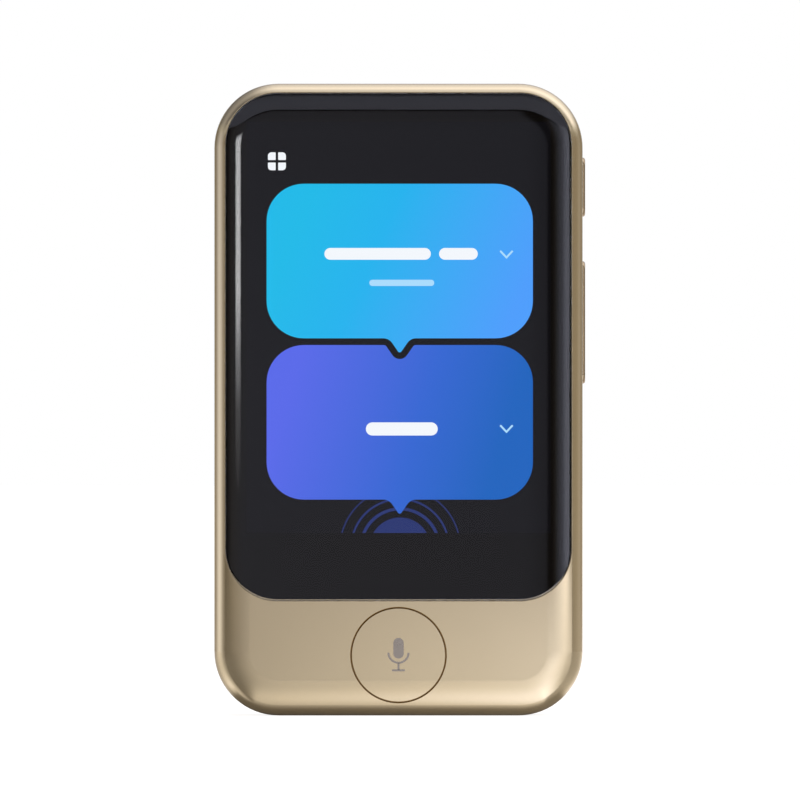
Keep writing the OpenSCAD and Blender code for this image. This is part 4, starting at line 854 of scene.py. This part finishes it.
FLOOR_REACH = 4.0
FLOOR_SEEN = 0.88  # glow of the floor to the camera; what it reflects adds the rest of its white
FLOOR_GRAIN = 40
FLOOR_MATT = ((0.4, 0.375, 0.32), (0.42, 0.395, 0.34))
FLOOR_BRIGHTEST = 3.0
FLOOR_HEADROOM = 2.0  # ramps hold no more than 1, so these hold halves of the last two tables
FLOOR_RANGE = 60 * MM
FOOT_HALF_W = 22 * MM
FLOOR_TINT_RANGE = (0.7, 1.25)  # levels between which the floor goes from the dim tint to the bright one
FLOOR_DIM_TINT = (1.02, 1.0, 1.09)
FLOOR_BRIGHT_TINT = (1.0, 1.03, 1.3)
FLOOR_ACROSS = ((-60, 0.35), (-28, 0.35), (-22, 0.43), (-14, 0.54), (0, 0.66), (14, 0.82), (22, 0.93),
                (28, 1.0), (60, 1.0))
FLOOR_TURN = ((-180, 1.0), (-125, 0.8), (-105, 1.7), (-88, 2.0), (-70, 1.5), (-57, 0.1), (-46, 0.0),
              (-35, 0.0), (-20, 0.35), (-8, 0.8), (0, 1.0), (5, 1.2), (14, 1.3), (25, 1.1), (33, 0.92),
              (41, 0.48), (47, 0.15), (80, 0.2), (105, 0.25), (130, 0.5), (180, 1.0))
# Next to the foot these values are low: a painted contact shadow in the floor's glow, which only the
# device's gloss sees.
FLOOR_AWAY = ((-1, 0.1), (-0.4, 0.2), (0.1, 0.45), (0.8, 0.85), (2.3, 1.36), (4, 1.42), (6.5, 1.3),
              (11, 1.08), (21, 0.93), (60, 1.0))


def show_both(material, first, second):
    """Shows the sum of two shaders."""
    link = material.node_tree.links.new
    both = add_node(material, "ShaderNodeAddShader")
    output = node_of(material, "OUTPUT_MATERIAL")
    link(first.outputs[0], both.inputs[0])
    link(second.outputs[0], both.inputs[1])
    link(both.outputs[0], output.inputs["Surface"])


def stage_piece(name, points, faces, material):
    """A stage piece that lights the device and is not seen itself."""
    mesh = bpy.data.meshes.new(name)
    mesh.from_pydata(points, [], faces)
    piece = bpy.data.objects.new(name, mesh)
    bpy.context.scene.collection.objects.link(piece)
    mesh.materials.append(material)
    piece.visible_camera = False
    piece.visible_shadow = False
    return piece


def level_sheet(half_w, near, far, height):
    """Corners of a level sheet."""
    return [(-half_w, near, height), (half_w, near, height), (half_w, far, height), (-half_w, far, height)]


def tinted(level, brightest, least=0.0):
    """Colour of a light at one level: warm if dim, cool if bright, and always cool by least or more."""
    share = min(1.0, max(least, (level - WARM_LEVEL) / COOL_LEVEL_STEP))
    return tuple(level / brightest * (warm + (cool - warm) * share) for warm, cool in zip(WARM, COOL))


def upright(azimuth, distance, low, high):
    """Lower and upper point of an upright line round the device."""
    turn = math.radians(azimuth)
    return [(distance * math.sin(turn), -distance * math.cos(turn), height) for height in (low, high)]


def left_fade(material, turn, height):
    """Share that is left of a tent's light, which falls with height on the left side."""
    past, far = (math.radians(at) for at in LEFT_FADE_TURN)
    left = map_range(material, turn, past, far)
    rise = map_range(material, height, *LEFT_FADE_RISE, to_high=LEFT_FADE_MOST)
    return maths(material, "SUBTRACT", 1.0, maths(material, "MULTIPLY", left, rise))


def light_tent(name, low, high, stops):
    """Upright curtain of light round the device; stops are (azimuth, brightness)."""
    material, glow = new_material(name, "ShaderNodeEmission")
    link = material.node_tree.links.new
    x, y, z = place_axes(material)
    turn = maths(material, "ARCTAN2", x, maths(material, "MULTIPLY", y, -1.0))
    share = ramp(material, z, 0, TENT_RISE_TOP, TENT_RISE)
    share = maths(material, "MULTIPLY", share, left_fade(material, turn, z))
    link(maths(material, "MULTIPLY", share, TENT_BRIGHTEST / TENT_FULL), glow.inputs["Strength"])
    parts = []
    for at, tone in stops:
        least = TENT_COOL_LEAST if TENT_COOL_RANGE[0] < at < TENT_COOL_RANGE[1] else 0.0
        parts.append((math.radians(at), tinted(tone, TENT_BRIGHTEST, least)))
    link(ramp(material, turn, -math.pi, math.pi, parts), glow.inputs["Color"])
    reach = stops[-1][0]
    points = []
    for i in range(TENT_STEPS + 1):
        points += upright(-reach + 2 * reach * i / TENT_STEPS, TENT_RADIUS, low, high)
    faces = [(2 * i, 2 * i + 1, 2 * i + 3, 2 * i + 2) for i in range(TENT_STEPS)]
    return stage_piece(name, points, faces, material)


def light_ceiling():
    """Level sheet of light above and before the device."""
    material, glow = new_material("light_ceiling", "ShaderNodeEmission")
    link = material.node_tree.links.new
    x, y, _ = place_axes(material)
    ahead = map_range(material, y, *CEILING_AHEAD, to_high=CEILING_AHEAD_SHARE)
    across = ramp(material, x, -CEILING_HALF_W, CEILING_HALF_W, CEILING_ACROSS)
    share = maths(material, "MAXIMUM", across, ahead)
    link(maths(material, "MULTIPLY", share, CEILING_BRIGHTEST), glow.inputs["Strength"])
    parts = [(at, tinted(tone, CEILING_BRIGHTEST)) for at, tone in CEILING_LIGHT]
    low, high = parts[0][0], parts[-1][0]
    link(ramp(material, y, low, high, parts), glow.inputs["Color"])
    corners = level_sheet(CEILING_HALF_W, low, high, CEILING_HEIGHT)
    return stage_piece("light_ceiling", corners, [(0, 1, 2, 3)], material)


def light_strip():
    """Narrow upright light with soft sides, through which the lights behind it show."""
    material, glow = new_material("light_strip", "ShaderNodeEmission")
    glow.inputs["Strength"].default_value = STRIP_BRIGHTEST
    _, _, z = place_axes(material)
    across, _, _ = place_axes(material, "Generated")
    parts = [(at, tone / STRIP_BRIGHTEST) for at, tone in STRIP_LIGHT]
    low, high = parts[0][0], parts[-1][0]
    fade = ramp(material, z, low, high, parts)
    sides = ramp(material, across, 0, 1, STRIP_SIDES)
    material.node_tree.links.new(maths(material, "MULTIPLY", fade, sides), glow.inputs["Color"])
    show_both(material, add_node(material, "ShaderNodeBsdfTransparent"), glow)
    points = []
    for side in (-1, 1):
        points += upright(STRIP_AZIMUTH + side * STRIP_ANGLE / 2, STRIP_DISTANCE, low, high)
    return stage_piece("light_strip", points, [(0, 1, 3, 2)], material)


def seen_directly(material):
    """1 for rays from the camera, from gloss and from glass, and 0 for others."""
    path = add_node(material, "ShaderNodeLightPath")
    seen = maths(material, "MAXIMUM", path.outputs["Is Camera Ray"], path.outputs["Is Glossy Ray"])
    return maths(material, "MAXIMUM", seen, path.outputs["Is Transmission Ray"])


def floor_glow(material):
    """What gloss sees of the floor: a ramp across, one by direction and one by distance from the foot,
    which paints a contact shadow next to the foot.
    """
    x, y, _ = place_axes(material)
    do = partial(maths, material)
    foot = -FRONT_Y
    aside = do("ABSOLUTE", x)
    before = do("SUBTRACT", do("ABSOLUTE", y), foot)
    beside = do("SUBTRACT", aside, BODY_HIGH.x)
    away = do("MAXIMUM", before, beside)
    clear = do("MAXIMUM", do("SUBTRACT", aside, FOOT_HALF_W), 0.0)
    sideways = do("MULTIPLY", clear, do("SIGN", x))
    ahead = do("SUBTRACT", do("MULTIPLY", y, -1.0), foot)
    turn = do("ARCTAN2", sideways, ahead)
    by_place = [(at * MM, tone / FLOOR_BRIGHTEST) for at, tone in FLOOR_ACROSS]
    by_turn = [(math.radians(at), tone / FLOOR_HEADROOM) for at, tone in FLOOR_TURN]
    by_distance = [(at * MM, tone / FLOOR_HEADROOM) for at, tone in FLOOR_AWAY]
    across = ramp(material, x, -FLOOR_RANGE, FLOOR_RANGE, by_place)
    around = ramp(material, turn, -math.pi, math.pi, by_turn)
    outward = ramp(material, away, -MM, FLOOR_RANGE, by_distance)
    tone = do("MULTIPLY", do("MULTIPLY", across, around), outward)
    return do("MULTIPLY", tone, FLOOR_HEADROOM ** 2 * FLOOR_BRIGHTEST)


def floor_material():
    """Near white to the camera, and to gloss a floor that is brighter on the right than on the left."""
    material, glow = new_material("pale_floor", "ShaderNodeEmission")
    link = material.node_tree.links.new
    matt = add_node(material, "ShaderNodeBsdfDiffuse")
    link(mix_colours(material, noise(material, FLOOR_GRAIN), *FLOOR_MATT), matt.inputs["Color"])
    gloss = floor_glow(material)
    to_camera = add_node(material, "ShaderNodeLightPath").outputs["Is Camera Ray"]
    level = map_range(material, to_camera, 0, 1, 0, FLOOR_SEEN)
    level.node.clamp = False
    link(gloss, level.node.inputs["To Min"])
    lit = maths(material, "MULTIPLY", level, seen_directly(material))
    link(lit, glow.inputs["Strength"])
    bright = map_range(material, gloss, *FLOOR_TINT_RANGE)
    tint = mix_colours(material, bright, FLOOR_DIM_TINT, FLOOR_BRIGHT_TINT)
    mixed = mix_colours(material, to_camera, (1, 1, 1), (1, 1, 1))
    link(tint, mixed.node.inputs["A"])
    link(mixed, glow.inputs["Color"])
    show_both(material, matt, glow)
    return material


def world_light(strength):
    """White behind everything, and a plain even light on the device."""
    world = bpy.data.worlds.new("studio")
    world.use_nodes = True
    world.node_tree.nodes.clear()
    link = world.node_tree.links.new
    output = add_node(world, "ShaderNodeOutputWorld")
    glow = add_node(world, "ShaderNodeBackground", Color=(1, 1, 1, 1))
    to_camera = add_node(world, "ShaderNodeLightPath").outputs["Is Camera Ray"]
    link(map_range(world, to_camera, 0, 1, strength, 1.0), glow.inputs["Strength"])
    link(glow.outputs["Background"], output.inputs["Surface"])
    bpy.context.scene.world = world

SENSOR_W = 36
CLIP_START = 0.01


class TRANSLATOR_OT_stage(bpy.types.Operator):
    """Makes the floor, the light cards and the camera"""
    bl_idname = "translator.stage"
    bl_label = "Set the Stage"

    def execute(self, context):
        settings = context.scene.translator_stage
        corners = level_sheet(FLOOR_REACH, -FLOOR_REACH, FLOOR_REACH, 0)
        floor = stage_piece("floor", corners, [(0, 1, 2, 3)], floor_material())
        floor.visible_camera = True
        floor.visible_shadow = True
        world_light(settings.room_light)
        foot, seam, top = TENT_HEIGHTS
        light_tent("light_tent", seam, top, TENT_LIGHT)
        light_tent("low_light_tent", foot, seam, LOW_TENT_LIGHT)
        light_ceiling()
        self.only_lights(light_strip(), "curved_cover_glass")
        self.camera(context, settings)
        context.scene.view_settings.view_transform = "Standard"
        return {"FINISHED"}

    @staticmethod
    def only_lights(light, name):
        """Keeps a light to one piece, so that the metal beside the glass does not show it."""
        receivers = bpy.data.collections.new("strip_receivers")
        receivers.objects.link(bpy.data.objects[name])
        light.light_linking.receiver_collection = receivers

    @staticmethod
    def camera(context, settings):
        """Camera that looks straight at the front and shows picture_w across the device's outline."""
        data = bpy.data.cameras.new("camera")
        data.sensor_width = SENSOR_W
        data.lens = SENSOR_W * (settings.camera_far + settings.edge_depth) / settings.picture_w
        data.clip_start = CLIP_START
        camera = bpy.data.objects.new("camera", data)
        camera.location = (settings.middle_x, FRONT_Y - settings.camera_far, settings.middle_z)
        camera.rotation_euler = (math.pi / 2, 0, 0)
        context.scene.collection.objects.link(camera)
        context.scene.camera = camera


OPERATORS = (TRANSLATOR_OT_case, TRANSLATOR_OT_keys, TRANSLATOR_OT_inside, TRANSLATOR_OT_glass,
             TRANSLATOR_OT_picture, TRANSLATOR_OT_sign, TRANSLATOR_OT_lenses, TRANSLATOR_OT_stage)


class TRANSLATOR_PT_panel(bpy.types.Panel):
    """Lists the steps that dress the translator"""
    bl_idname = "TRANSLATOR_PT_panel"
    bl_label = "Handheld Translator"
    bl_space_type = "VIEW_3D"
    bl_region_type = "UI"
    bl_category = "Translator"

    def draw(self, context):
        for operator in OPERATORS:
            self.layout.operator(operator.bl_idname)
        for name, group in GROUPS.items():
            box = self.layout.box()
            for key in group.__annotations__:
                box.prop(getattr(context.scene, name), key)


GROUPS = {
    "translator_form": TranslatorForm,
    "translator_screen": TranslatorScreen,
    "translator_colours": TranslatorColours,
    "translator_stage": TranslatorStage,
}


def register():
    """Registers the property groups, the operators and the panel."""
    for cls in (*GROUPS.values(), *OPERATORS, TRANSLATOR_PT_panel):
        bpy.utils.register_class(cls)
    for name, group in GROUPS.items():
        setattr(bpy.types.Scene, name, PointerProperty(type=group))


def unregister():
    """Takes back what register does."""
    for name in GROUPS:
        delattr(bpy.types.Scene, name)
    for cls in (TRANSLATOR_PT_panel, *reversed(OPERATORS), *reversed(GROUPS.values())):
        bpy.utils.unregister_class(cls)


def main():
    """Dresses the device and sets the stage."""
    register()
    bpy.ops.translator.case()
    bpy.ops.translator.keys()
    bpy.ops.translator.inside()
    bpy.ops.translator.glass()
    bpy.ops.translator.picture()
    bpy.ops.translator.sign()
    bpy.ops.translator.lenses()
    bpy.ops.translator.stage()


if __name__ == "__main__":
    main()
